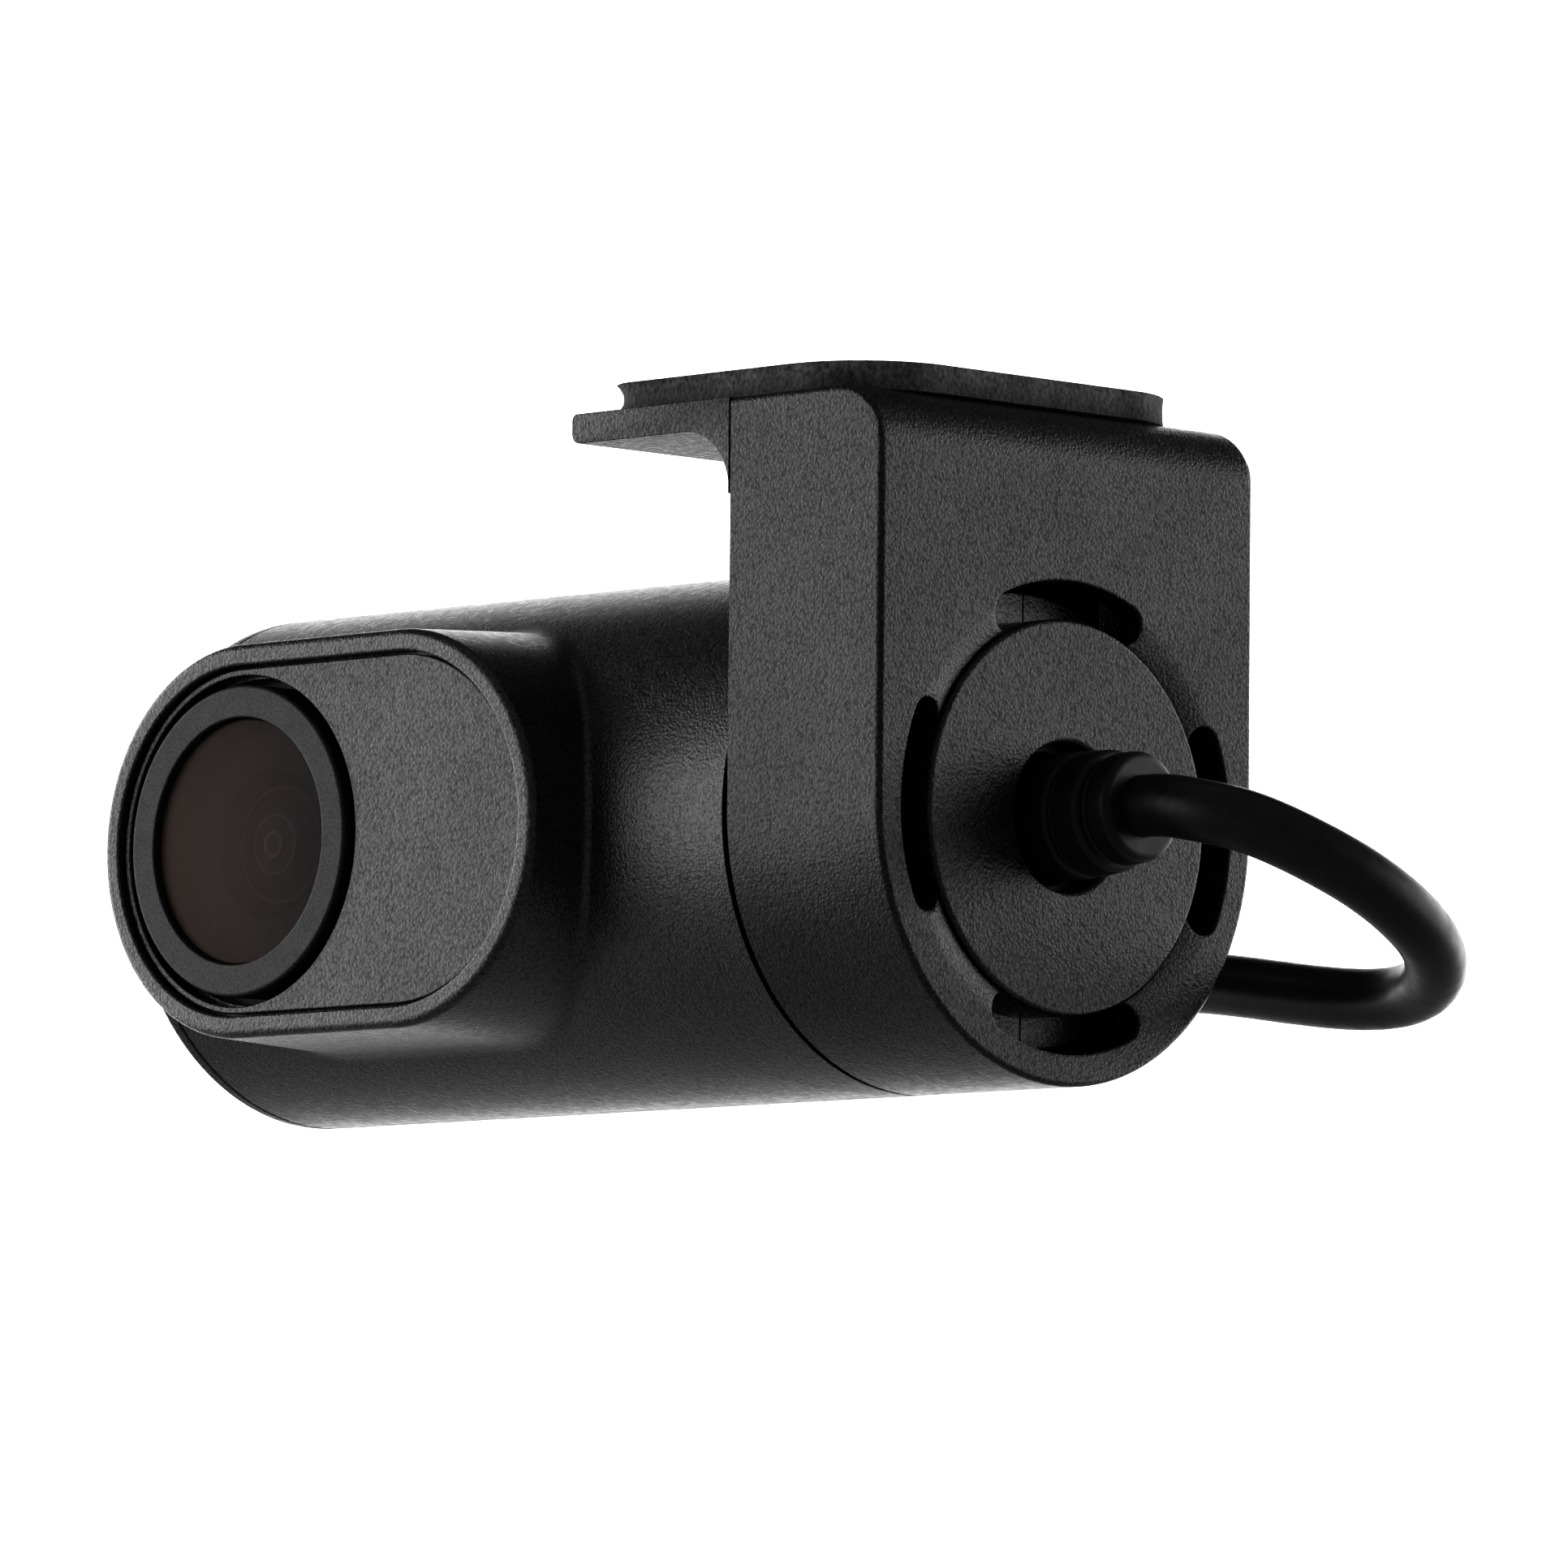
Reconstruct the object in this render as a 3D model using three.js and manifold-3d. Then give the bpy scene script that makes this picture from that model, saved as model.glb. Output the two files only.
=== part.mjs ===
// A window camera for a vehicle: a camera barrel that tilts in a side bracket bonded to the glass.
// Millimetres, +Z up. X runs along the barrel towards the lead, and the lens looks along -Y.
// The origin is the centre of the foam pad's top face, which is stuck to the glass.
// Inside the assembly group the X axis is the barrel's own axis, and the group hangs below the glass.

import * as THREE from 'three';
import * as BufferGeometryUtils from 'three/addons/utils/BufferGeometryUtils.js';
import Module from 'manifold-3d';

const wasm = await Module();
wasm.setup();

// ---- Driving dimensions ----

const fit = 0.3; // clearance between pieces that touch on the real camera
const seam = 0.12; // half of the parting line between the two barrel shells
const rest = 0.1; // gap under a flat piece that lies on another

const axisDrop = 24.8; // from the glass down to the barrel axis
const barrelRadius = 15;
const barrelWall = 1.6;
const barrelLeft = -48.2;
const barrelRight = 0.8;
const capThickness = 1.0;

const armInner = 1.3;
const armOuter = 13.2;
const coverWall = 1.8;
const armTopFillet = 3.4;

const padLength = 21.7; // along X
const padWidth = 27.6; // along Y
const padThickness = 1.7;
const plateLeft = -11.3;
const plateThickness = 1.7;
const plateFillet = 3.6;

const hubRadius = 11.0;
const flangeRadius = 12.9;
const flangeFace = 9.6;
const hubBore = 9.4;
const discRadius = 11.05;
const slotOuter = 13.2;
const slotInner = 11.0;
const slotHalfAngle = THREE.MathUtils.degToRad(28.5);

const noseFront = 19.15; // from the barrel axis to the nose's front face
const noseRadius = 11.3;
const noseLeft = -34.2; // centre of the left round end, which is the lens axis
const noseRight = -21.1; // centre of the right round end
const noseDraft = Math.tan(THREE.MathUtils.degToRad(3));
const lensX = noseLeft;
const windowRadius = 7.05;
const trimRadius = 8.95;

const reliefHole = 4.2;
const reliefEnd = 19.0;

const leadDiameter = 3.5;
const hankLeft = -46.75; // centre of the hank's left fold
const hankRight = -11.25; // centre of the hank's right fold
const hankHeight = -0.4;
const hankFold = 7.0; // radius of a fold at the lead's centreline
const hankFront = 17.0;
const hankBack = 27.8;
const plugHeight = 12.6;
const plugMiddle = 22.4;

const plateTop = axisDrop - padThickness;
const plateBottom = plateTop - plateThickness;
const cavityRadius = barrelRadius - coverWall;
const cavityTop = plateTop - coverWall;
const boreRadius = barrelRadius - barrelWall;
const hankRadius = hankFold + leadDiameter / 2;

// ---- Materials ----

function finish(color, roughness, metalness = 0) {
  return new THREE.MeshStandardMaterial({ color, roughness, metalness });
}

const housingPlastic = () => finish(0x232323, 0.62);
const rimPlastic = () => finish(0x2a2a2a, 0.58);
const satinPlastic = () => finish(0x1c1f1e, 0.45);
const foam = () => finish(0x262626, 0.95);
const rubber = () => finish(0x121212, 0.6);
const leadJacket = () => finish(0x0c0c0c, 0.42);
const screwSteel = () => finish(0x8f9296, 0.35, 1);
const contactGold = () => finish(0xc9a24a, 0.3, 1);
const anodised = () => finish(0x141414, 0.35, 0.8);
const boardGreen = () => finish(0x0f3b22, 0.5);
const chipBlack = () => finish(0x101113, 0.5);
const canSteel = () => finish(0xb5b7ba, 0.3, 1);
const tintedGlass = () => finish(0x241a18, 0.05);
const lensGlass = () => finish(0x30242c, 0.03);
const filterGlass = () => finish(0x3b5560, 0.08);

// ---- Solids ----

const axisX = new THREE.Vector3(1, 0, 0);
const axisY = new THREE.Vector3(0, 1, 0);
const axisZ = new THREE.Vector3(0, 0, 1);
const outlineAcrossX = new THREE.Matrix4().makeBasis(axisY, axisZ, axisX);
const outlineAcrossY = new THREE.Matrix4().makeBasis(axisX, axisZ, axisY.clone().negate());

function signedVolume(positions, triangles) {
  const corner = [new THREE.Vector3(), new THREE.Vector3(), new THREE.Vector3()];
  let total = 0;
  for (let t = 0; t < triangles.length; t += 3) {
    for (let k = 0; k < 3; k += 1) {
      corner[k].fromArray(positions, 3 * triangles[t + k]);
    }
    total += corner[0].dot(corner[1].cross(corner[2]));
  }
  return total / 6;
}

// A closed geometry as a solid: shared corners are merged, empty triangles left out, faces turned outwards.
function solid(geometry) {
  const bare = geometry.clone();
  bare.deleteAttribute('normal');
  bare.deleteAttribute('uv');
  const merged = BufferGeometryUtils.mergeVertices(bare, 1e-4);
  const positions = merged.attributes.position.array;
  const triangles = [];
  for (let t = 0; t < merged.index.count; t += 3) {
    const [a, b, c] = [0, 1, 2].map((k) => merged.index.getX(t + k));
    if (a !== b && b !== c && c !== a) {
      triangles.push(a, b, c);
    }
  }
  if (signedVolume(positions, triangles) < 0) {
    triangles.reverse();
  }
  return new wasm.Manifold(
    new wasm.Mesh({
      numProp: 3,
      vertProperties: Float32Array.from(positions),
      triVerts: Uint32Array.from(triangles),
    }),
  );
}

function box(x, y, z) {
  const geometry = new THREE.BoxGeometry(x[1] - x[0], y[1] - y[0], z[1] - z[0]);
  geometry.translate((x[0] + x[1]) / 2, (y[0] + y[1]) / 2, (z[0] + z[1]) / 2);
  return solid(geometry);
}

// A profile of [radius, position] pairs turned about an axis along X, Y or Z.
function turned(profile, axis, segments = 24, at = [0, 0, 0]) {
  const points = [...profile, profile[0]].map(([radius, along]) => new THREE.Vector2(radius, along));
  const geometry = new THREE.LatheGeometry(points, segments);
  if (axis === 'x') {
    geometry.rotateZ(-Math.PI / 2);
  }
  if (axis === 'z') {
    geometry.rotateX(Math.PI / 2);
  }
  geometry.translate(...at);
  return solid(geometry);
}

function rod(radius, from, to, axis, segments = 24, at = [0, 0, 0]) {
  return turned([[0, from], [radius, from], [radius, to], [0, to]], axis, segments, at);
}

function ring(inner, outer, from, to, axis, segments = 24, at = [0, 0, 0]) {
  return turned([[inner, from], [outer, from], [outer, to], [inner, to]], axis, segments, at);
}

// An outline pushed through a depth. An edge radius rounds the rims of both ends.
// Each arc of the outline takes two steps for every curve segment.
function extruded(shape, depth, edge = 0, curveSegments = 6) {
  const geometry = new THREE.ExtrudeGeometry(shape, {
    depth: depth - 2 * edge,
    bevelEnabled: edge > 0,
    bevelThickness: edge,
    bevelSize: edge,
    bevelOffset: -edge,
    bevelSegments: 3,
    curveSegments,
  });
  geometry.translate(0, 0, edge);
  return geometry;
}

// An outline drawn in Y and Z, running from one X to another.
function alongX(shape, from, to, edge = 0, curveSegments = 6) {
  const geometry = extruded(shape, to - from, edge, curveSegments);
  geometry.applyMatrix4(outlineAcrossX);
  geometry.translate(from, 0, 0);
  return solid(geometry);
}

// An outline drawn in X and Z, running forwards from one Y to a lower one.
function alongY(shape, back, front, edge = 0, curveSegments = 6) {
  const geometry = extruded(shape, back - front, edge, curveSegments);
  geometry.applyMatrix4(outlineAcrossY);
  geometry.translate(0, back, 0);
  return solid(geometry);
}

function alongZ(shape, from, to, edge = 0, curveSegments = 6) {
  const geometry = extruded(shape, to - from, edge, curveSegments);
  geometry.translate(0, 0, from);
  return solid(geometry);
}

// A round tube of a few sides along a smooth curve through the points.
function tube(points, radius, sides, steps) {
  const section = new THREE.Shape();
  section.absarc(0, 0, radius, 0, 2 * Math.PI, false);
  const path = new THREE.CatmullRomCurve3(
    points.map((point) => new THREE.Vector3(...point)),
    false,
    'centripetal',
  );
  const geometry = new THREE.ExtrudeGeometry(section, {
    steps,
    bevelEnabled: false,
    curveSegments: sides,
    extrudePath: path,
  });
  return solid(geometry);
}

// ---- Outlines ----

// A U shape: a half circle below the barrel axis with straight sides up to a flat top.
function archOutline(radius, top) {
  const shape = new THREE.Shape();
  shape.moveTo(-radius, top);
  shape.lineTo(-radius, 0);
  shape.absarc(0, 0, radius, Math.PI, 2 * Math.PI, false);
  shape.lineTo(radius, top);
  shape.closePath();
  return shape;
}

// A slot with round ends between two centres on a level line.
function slotOutline(left, right, radius, height = 0) {
  const shape = new THREE.Shape();
  shape.absarc(right, height, radius, -Math.PI / 2, Math.PI / 2, false);
  shape.absarc(left, height, radius, Math.PI / 2, (3 * Math.PI) / 2, false);
  shape.closePath();
  return shape;
}

const noseOutline = (radius) => slotOutline(noseLeft, noseRight, radius);

// A curved slot about the barrel axis, with round ends, centred on a direction in Y and Z.
function arcSlotOutline(direction) {
  const middle = (slotOuter + slotInner) / 2;
  const endRadius = (slotOuter - slotInner) / 2;
  const reach = slotHalfAngle - endRadius / middle;
  const [first, last] = [direction - reach, direction + reach];
  const shape = new THREE.Shape();
  shape.absarc(0, 0, slotOuter, first, last, false);
  shape.absarc(middle * Math.cos(last), middle * Math.sin(last), endRadius, last, last + Math.PI, false);
  shape.absarc(0, 0, slotInner, last, first, true);
  shape.absarc(
    middle * Math.cos(first),
    middle * Math.sin(first),
    endRadius,
    first + Math.PI,
    first + 2 * Math.PI,
    false,
  );
  shape.closePath();
  return shape;
}

function roundedRectangle(x, y, radii) {
  const shape = new THREE.Shape();
  const [leftRadius, rightRadius] = radii;
  shape.absarc(x[1] - rightRadius, y[1] - rightRadius, rightRadius, 0, Math.PI / 2, false);
  shape.absarc(x[0] + leftRadius, y[1] - leftRadius, leftRadius, Math.PI / 2, Math.PI, false);
  shape.absarc(x[0] + leftRadius, y[0] + leftRadius, leftRadius, Math.PI, 1.5 * Math.PI, false);
  shape.absarc(x[1] - rightRadius, y[0] + rightRadius, rightRadius, 1.5 * Math.PI, 2 * Math.PI, false);
  shape.closePath();
  return shape;
}

// ---- Bracket ----

const bracketScrewX = 5.0;
const bracketScrewY = 8.5;
const bearingWall = 1.7;

function foamPad() {
  const shape = roundedRectangle(
    [-padLength / 2, padLength / 2],
    [-padWidth / 2, padWidth / 2],
    [3, 6],
  );
  return alongZ(shape, plateTop + rest, axisDrop);
}

// The plate under the pad, its fillet down to the arm, the bearing wall inside the arm and two screw posts.
function mountBracket() {
  const plateRight = armInner - fit;
  const edge = 0.6;
  const filletX = plateRight - plateFillet;
  const filletZ = plateBottom - plateFillet;
  const profile = new THREE.Shape();
  profile.moveTo(plateRight, plateTop);
  profile.lineTo(plateLeft + edge, plateTop);
  profile.absarc(plateLeft + edge, plateTop - edge, edge, Math.PI / 2, Math.PI, false);
  profile.absarc(plateLeft + edge, plateBottom + edge, edge, Math.PI, 1.5 * Math.PI, false);
  profile.absarc(filletX, filletZ, plateFillet, Math.PI / 2, 0, true);
  profile.closePath();
  const wallTop = cavityTop - fit;
  const wallRadius = cavityRadius - fit;
  let body = alongY(profile, barrelRadius, -barrelRadius, 0, 4)
    .add(alongX(archOutline(wallRadius, wallTop), armInner, armInner + bearingWall, 0, 12))
    .add(box([plateRight - 0.2, armInner + 0.5], [-wallRadius, wallRadius], [filletZ + 1.8, wallTop]));
  for (const y of [-bracketScrewY, bracketScrewY]) {
    body = body
      .add(rod(2.3, 14.5, wallTop, 'z', 16, [bracketScrewX, y, 0]))
      .subtract(rod(1.0, 15.5, wallTop + 1, 'z', 12, [bracketScrewX, y, 0]));
  }
  return body.subtract(rod(hubRadius + fit, armInner - 1, armInner + 3, 'x', 48));
}

// The outer half of the arm: a deep cover with a round window for the end disc and four curved slots.
function armCover() {
  const sides = new THREE.Shape();
  sides.moveTo(armInner, -barrelRadius - 1);
  sides.lineTo(armOuter, -barrelRadius - 1);
  sides.absarc(armOuter - armTopFillet, plateTop - armTopFillet, armTopFillet, 0, Math.PI / 2, false);
  sides.lineTo(armInner, plateTop);
  sides.closePath();
  const edge = 0.4;
  const dishRadius = 12.7;
  const dishDepth = 0.8;
  let body = alongX(archOutline(barrelRadius, plateTop + edge), armInner - 2, armOuter, edge, 14)
    .intersect(alongY(sides, barrelRadius + 1, -barrelRadius - 1))
    .subtract(alongX(archOutline(cavityRadius, cavityTop), armInner - 1, armOuter - coverWall, 0, 12))
    .subtract(rod(discRadius + fit, armOuter - 3, armOuter + 1, 'x', 48))
    .subtract(
      turned(
        [
          [0, armOuter - dishDepth],
          [discRadius + fit, armOuter - dishDepth],
          [dishRadius, armOuter + 0.01],
          [0, armOuter + 0.01],
        ],
        'x',
        48,
      ),
    );
  for (let quarter = 0; quarter < 4; quarter += 1) {
    const slot = arcSlotOutline((quarter * Math.PI) / 2);
    body = body.subtract(alongX(slot, armOuter - 3, armOuter + 1, 0, 5));
  }
  for (const y of [-bracketScrewY, bracketScrewY]) {
    const countersink = [[0, 19], [1.1, 19], [1.1, 22], [2.2, 23.15], [0, 23.15]];
    body = body.subtract(turned(countersink, 'z', 16, [bracketScrewX, y, 0]));
  }
  return body;
}

function bracketScrew(y) {
  const profile = [[0, 16.2], [0.7, 16.2], [0.7, 22.0], [1.8, 22.9], [0, 22.9]];
  return turned(profile, 'z', 12, [bracketScrewX, y, 0]);
}

// ---- Barrel shells ----

const boardPosts = [[-41.5, -7], [-7.5, 7]];

// Both barrel shells, whole: the tube, its end wall, and a spool-shaped hub that turns inside the arm.
function barrelTube() {
  const edge = 0.4;
  return turned(
    [
      [barrelRadius, barrelLeft + capThickness + 0.25],
      [barrelRadius, barrelRight - edge],
      [barrelRadius - edge, barrelRight],
      [hubRadius, barrelRight],
      [hubRadius, armInner + bearingWall + fit],
      [flangeRadius, armInner + bearingWall + fit],
      [flangeRadius, 4.9],
      [hubRadius, 4.9],
      [hubRadius, 8.0],
      [flangeRadius, 8.0],
      [flangeRadius, flangeFace],
      [hubBore, flangeFace],
      [hubBore, -0.9],
      [boreRadius, -0.9],
      [boreRadius, barrelLeft + capThickness + 0.25],
    ],
    'x',
    64,
  );
}

// The nose is a round-ended block whose sides lean out by a small draft towards the barrel.
function noseBlock() {
  const geometry = extruded(noseOutline(noseRadius), noseFront - 3, 0.45, 12);
  geometry.applyMatrix4(outlineAcrossY);
  geometry.translate(0, -3, 0);
  const position = geometry.attributes.position;
  for (let i = 0; i < position.count; i += 1) {
    const [x, y, z] = [position.getX(i), position.getY(i), position.getZ(i)];
    const centre = THREE.MathUtils.clamp(x, noseLeft, noseRight);
    const reach = Math.hypot(x - centre, z);
    const growth = reach > 1 ? 1 + (noseDraft * (noseFront + y)) / reach : 1;
    position.setXYZ(i, centre + (x - centre) * growth, y, z * growth);
  }
  return solid(geometry).subtract(rod(boreRadius + 0.2, barrelLeft, barrelRight, 'x', 64));
}

function frontShell() {
  return barrelTube()
    .intersect(box([-60, 20], [-20, -seam], [-20, 20]))
    .add(noseBlock())
    .subtract(alongY(noseOutline(10.15), -17.5, -20, 0, 12))
    .subtract(alongY(noseOutline(9.3), -16, -18, 0, 10))
    .subtract(alongY(noseOutline(9.9), -8.6, -16.5, 0, 10));
}

function rearShell() {
  let body = barrelTube().intersect(box([-60, 20], [seam, 20], [-20, 20]));
  for (const [x, z] of boardPosts) {
    const wallY = Math.sqrt(boreRadius ** 2 - z ** 2) + 0.6;
    body = body
      .add(rod(2.2, 2.5, wallY, 'y', 16, [x, 0, z]))
      .subtract(rod(0.85, 2, 8, 'y', 12, [x, 0, z]));
  }
  return body;
}

function endCap() {
  const edge = 0.5;
  const face = barrelLeft + capThickness;
  return turned(
    [
      [0, barrelLeft],
      [barrelRadius - edge, barrelLeft],
      [barrelRadius - 0.3 * edge, barrelLeft + 0.3 * edge],
      [barrelRadius, barrelLeft + edge],
      [barrelRadius, face],
      [boreRadius - fit, face],
      [boreRadius - fit, face + 2.7],
      [boreRadius - 1.6, face + 2.7],
      [boreRadius - 1.6, face + 0.5],
      [0, face + 0.5],
    ],
    'x',
    48,
  );
}

function nosePlate() {
  return alongY(noseOutline(9.9), -17.6, -18.8, 0, 12)
    .subtract(rod(9.5, -20, -16, 'y', 48, [lensX, 0, 0]));
}

// ---- Lens ----

function aboutLens(profile, segments = 32) {
  return turned(profile, 'y', segments, [lensX, 0, 0]);
}

function lensTrimRing() {
  return aboutLens(
    [
      [windowRadius, -18.5],
      [windowRadius, -18.95],
      [windowRadius + 0.2, -19.15],
      [trimRadius - 0.25, -19.15],
      [trimRadius, -18.9],
      [trimRadius, -16.2],
      [9.6, -16.2],
      [9.6, -15.2],
      [7.95, -15.2],
      [7.95, -18.5],
    ],
    48,
  );
}

const coverGlass = () => aboutLens([[0, -18.4], [7.65, -18.4], [7.65, -17.4], [0, -17.4]], 40);
const glassGasket = () => aboutLens([[6.9, -17.3], [7.65, -17.3], [7.65, -16.8], [6.9, -16.8]], 32);

function lensBarrel() {
  return aboutLens([
    [1.6, -11.0],
    [4.4, -11.0],
    [4.4, -8.9],
    [5.7, -8.9],
    [5.7, -13.8],
    [6.9, -13.8],
    [6.9, -16.2],
    [6.5, -16.5],
    [4.3, -16.5],
    [3.9, -15.1],
    [2.6, -15.1],
    [2.6, -13.4],
    [1.6, -13.4],
  ]);
}

function lensFrontElement() {
  const crown = [[3.6, -15.6], [3.0, -15.95], [2.0, -16.2], [1.0, -16.33], [0, -16.37]];
  return aboutLens([[0, -15.2], [3.6, -15.2], ...crown], 24);
}

const lensStopRing = () => aboutLens([[0.9, -14.7], [2.3, -14.7], [2.3, -13.7], [0.9, -13.7]], 20);
const lensRearElement = () => aboutLens([[0, -10.7], [4.1, -10.7], [4.1, -9.6], [2.4, -9.2], [0, -9.1]], 20);

const holderScrewZ = 7.0;

function lensHolder() {
  const x = [lensX - 6.6, lensX + 6.6];
  const inside = [lensX - 5.2, lensX + 5.2];
  let body = box(x, [-9.0, -5.3], [-8.3, 8.3])
    .add(rod(7.3, -13.5, -8.5, 'y', 32, [lensX, 0, 0]))
    .subtract(rod(6.0, -14, -7, 'y', 32, [lensX, 0, 0]))
    .subtract(box(inside, [-8.0, -5], [-5.2, 5.2]));
  for (const z of [-holderScrewZ, holderScrewZ]) {
    body = body.subtract(rod(0.8, -8.2, -5, 'y', 12, [lensX, 0, z]));
  }
  return body;
}

const infraredFilter = () => box([lensX - 4.9, lensX + 4.9], [-7.8, -7.3], [-4.9, 4.9]);

// ---- Electronics ----

function sensorBoard() {
  let body = box([lensX - 8.5, lensX + 8.5], [-5.0, -4.0], [-9.6, 9.6]);
  for (const z of [-holderScrewZ, holderScrewZ]) {
    body = body.subtract(rod(0.8, -6, -3, 'y', 12, [lensX, 0, z]));
  }
  return body;
}

function mainBoard() {
  let body = box([-44, -4], [1.2, 2.2], [-10, 10]);
  for (const [x, z] of boardPosts) {
    body = body.subtract(rod(0.85, 0, 3, 'y', 12, [x, 0, z]));
  }
  return body;
}

// A pan-head screw along Y: the head at its front end or at its back end, and the shank the other way.
function panScrew(x, z, headY, shankY, headRadius = 1.4) {
  const step = Math.sign(shankY - headY) * 0.8;
  const profile = [
    [0, headY],
    [headRadius * 0.7, headY],
    [headRadius, headY + 0.35 * step],
    [headRadius, headY + step],
    [0.5, headY + step],
    [0.5, shankY],
    [0, shankY],
  ];
  return turned(profile, 'y', 12, [x, 0, z]);
}

const imageSensor = () => box([lensX - 3.5, lensX + 3.5], [-6.2, -5.2], [-3.5, 3.5]);
const boardLink = () => box([-31.5, -27.5], [-3.8, 1.0], [-8.5, -5.5]);
const processorChip = () => box([-35, -25], [2.4, 3.6], [-5, 5]);
const memoryChip = () => box([-20, -14.5], [2.4, 3.4], [2, 7]);
const powerInductor = () => rod(2.3, 2.4, 4.4, 'y', 8, [-16.5, 0, -4.5]);
const clockCrystal = () => box([-42.5, -39], [2.4, 3.3], [3, 5.2]);

function shieldCan() {
  return box([-37.4, -22.6], [2.4, 5.4], [-7.4, 7.4])
    .subtract(box([-37.1, -22.9], [2, 5.1], [-7.1, 7.1]));
}

function bulkCapacitor() {
  return turned([[0, 2.4], [2, 2.4], [2, 6.6], [1.7, 6.9], [0, 6.9]], 'y', 16, [-9.5, 0, -6.2]);
}

function leadSocket() {
  return box([-13, -6], [-3.2, 1.0], [-3.5, 3.5]).subtract(box([-11, -5], [-2.6, 0.4], [-2.9, 2.9]));
}

const leadHousing = () => box([-10.6, -3.4], [-2.3, 0.1], [-2.6, 2.6]);
const innerLead = () => tube([[-3.1, -1.1, 0], [0, -1.0, 0], [4, -0.3, 0], [8.3, 0, 0]], 1.5, 8, 6);

// ---- Tilt joint and lead exit ----

const frictionRing = () => ring(hubRadius + fit, flangeRadius - 0.05, 5.4, 7.5, 'x', 48);

function endDisc() {
  const edge = 0.25;
  return turned(
    [
      [reliefHole + edge, armOuter],
      [discRadius - edge, armOuter],
      [discRadius, armOuter - edge],
      [discRadius, flangeFace + fit],
      [hubBore - fit, flangeFace + fit],
      [hubBore - fit, 7.6],
      [hubBore - 1.8, 7.6],
      [hubBore - 1.8, armOuter - 1.6],
      [reliefHole, armOuter - 1.6],
      [reliefHole, armOuter - edge],
    ],
    'x',
    48,
  );
}

// The rubber strain relief: a head behind the disc, a neck through its hole and three soft ribs.
function strainRelief() {
  return turned(
    [
      [0, 8.6],
      [5.4, 8.6],
      [5.4, armOuter - 1.9],
      [reliefHole - fit, armOuter - 1.9],
      [reliefHole - fit, 14.0],
      [3.3, 14.4],
      [3.65, 14.9],
      [3.65, 15.4],
      [3.05, 15.9],
      [3.4, 16.4],
      [3.4, 16.9],
      [2.8, 17.3],
      [3.05, 17.6],
      [3.05, 18.6],
      [2.7, reliefEnd],
      [0, reliefEnd],
    ],
    'x',
    24,
  );
}

// ---- Lead ----

const leadRoute = [
  [reliefEnd + fit, 0, 0],
  [20.6, 0, -0.05],
  [22.95, 0.3, -0.35],
  [25.08, 1.2, -0.85],
  [26.93, 2.62, -1.65],
  [28.35, 4.48, -2.7],
  [29.25, 6.63, -3.85],
  [29.55, 8.95, -5.05],
  [29.25, 11.27, -6.2],
  [28.35, 13.43, -7.2],
  [26.93, 15.28, -8.1],
  [25.08, 16.7, -8.8],
  [22.92, 17.6, -9.25],
  [20.6, 17.95, -9.4],
  [16.6, 18.0, -9.15],
  [12.8, 18.0, -8.65],
  [8.9, 18.1, -8.1],
  [5.0, 18.4, -7.7],
  [0.0, 18.7, -7.45],
  [-3.9, 18.8, -7.4],
];

const tailRoute = [
  [hankLeft - 6.95, 25.8, 7.0],
  [hankLeft - 6.2, 25.2, 9.4],
  [hankLeft - 4.4, 24.2, 11.4],
  [hankLeft - 2.0, 23.1, 12.4],
  [hankLeft + 0.4, 22.5, plugHeight],
  [hankLeft + 2.0, plugMiddle, plugHeight],
];

const leadCable = () => tube(leadRoute, leadDiameter / 2, 4, 22);
const leadTail = () => tube(tailRoute, leadDiameter / 2, 4, 8);

function leadHank() {
  return alongY(slotOutline(hankLeft, hankRight, hankRadius, hankHeight), hankBack, hankFront);
}

function hankTie() {
  const inner = fit;
  const band = 1.0;
  const [left, right] = [-22, -18.4];
  const [low, high] = [hankHeight - hankRadius - inner, hankHeight + hankRadius + inner];
  const [front, back] = [hankFront - inner, hankBack + inner];
  return box([left, right], [front - band, back + band], [low - band, high + band])
    .subtract(box([left - 1, right + 1], [front, back], [low, high]))
    .add(box([left - 0.7, right + 0.7], [back + 0.5, back + 4.2], [-2.5, 2.5]));
}

const aboutPlug = (profile, segments) => turned(profile, 'x', segments, [0, plugMiddle, plugHeight]);

function plugGrip() {
  return aboutPlug(
    [
      [0, -44.4],
      [2.4, -44.4],
      [2.8, -43.9],
      [3.1, -39],
      [3.9, -38],
      [3.9, -27.0],
      [3.4, -26.0],
      [0, -26.0],
    ],
    20,
  );
}

function plugPin() {
  const tip = [[1.25, -16.6], [0.85, -16.0], [1.2, -15.3], [0.5, -14.7], [0, -14.7]];
  return aboutPlug([[0, -25.7], [1.25, -25.7], ...tip], 16);
}

// ---- Assembly ----

function named(name, shape, material) {
  const mesh = shape.getMesh();
  const geometry = new THREE.BufferGeometry();
  geometry.setAttribute('position', new THREE.BufferAttribute(Float32Array.from(mesh.vertProperties), 3));
  geometry.setIndex(new THREE.BufferAttribute(Uint32Array.from(mesh.triVerts), 1));
  geometry.computeVertexNormals();
  const node = new THREE.Mesh(geometry, material);
  node.name = name;
  return node;
}

const bracket = new THREE.Group();
bracket.add(
  named('foam_pad', foamPad(), foam()),
  named('mount_bracket', mountBracket(), housingPlastic()),
  named('arm_cover', armCover(), housingPlastic()),
  named('bracket_screw_front', bracketScrew(-bracketScrewY), screwSteel()),
  named('bracket_screw_rear', bracketScrew(bracketScrewY), screwSteel()),
);

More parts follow.
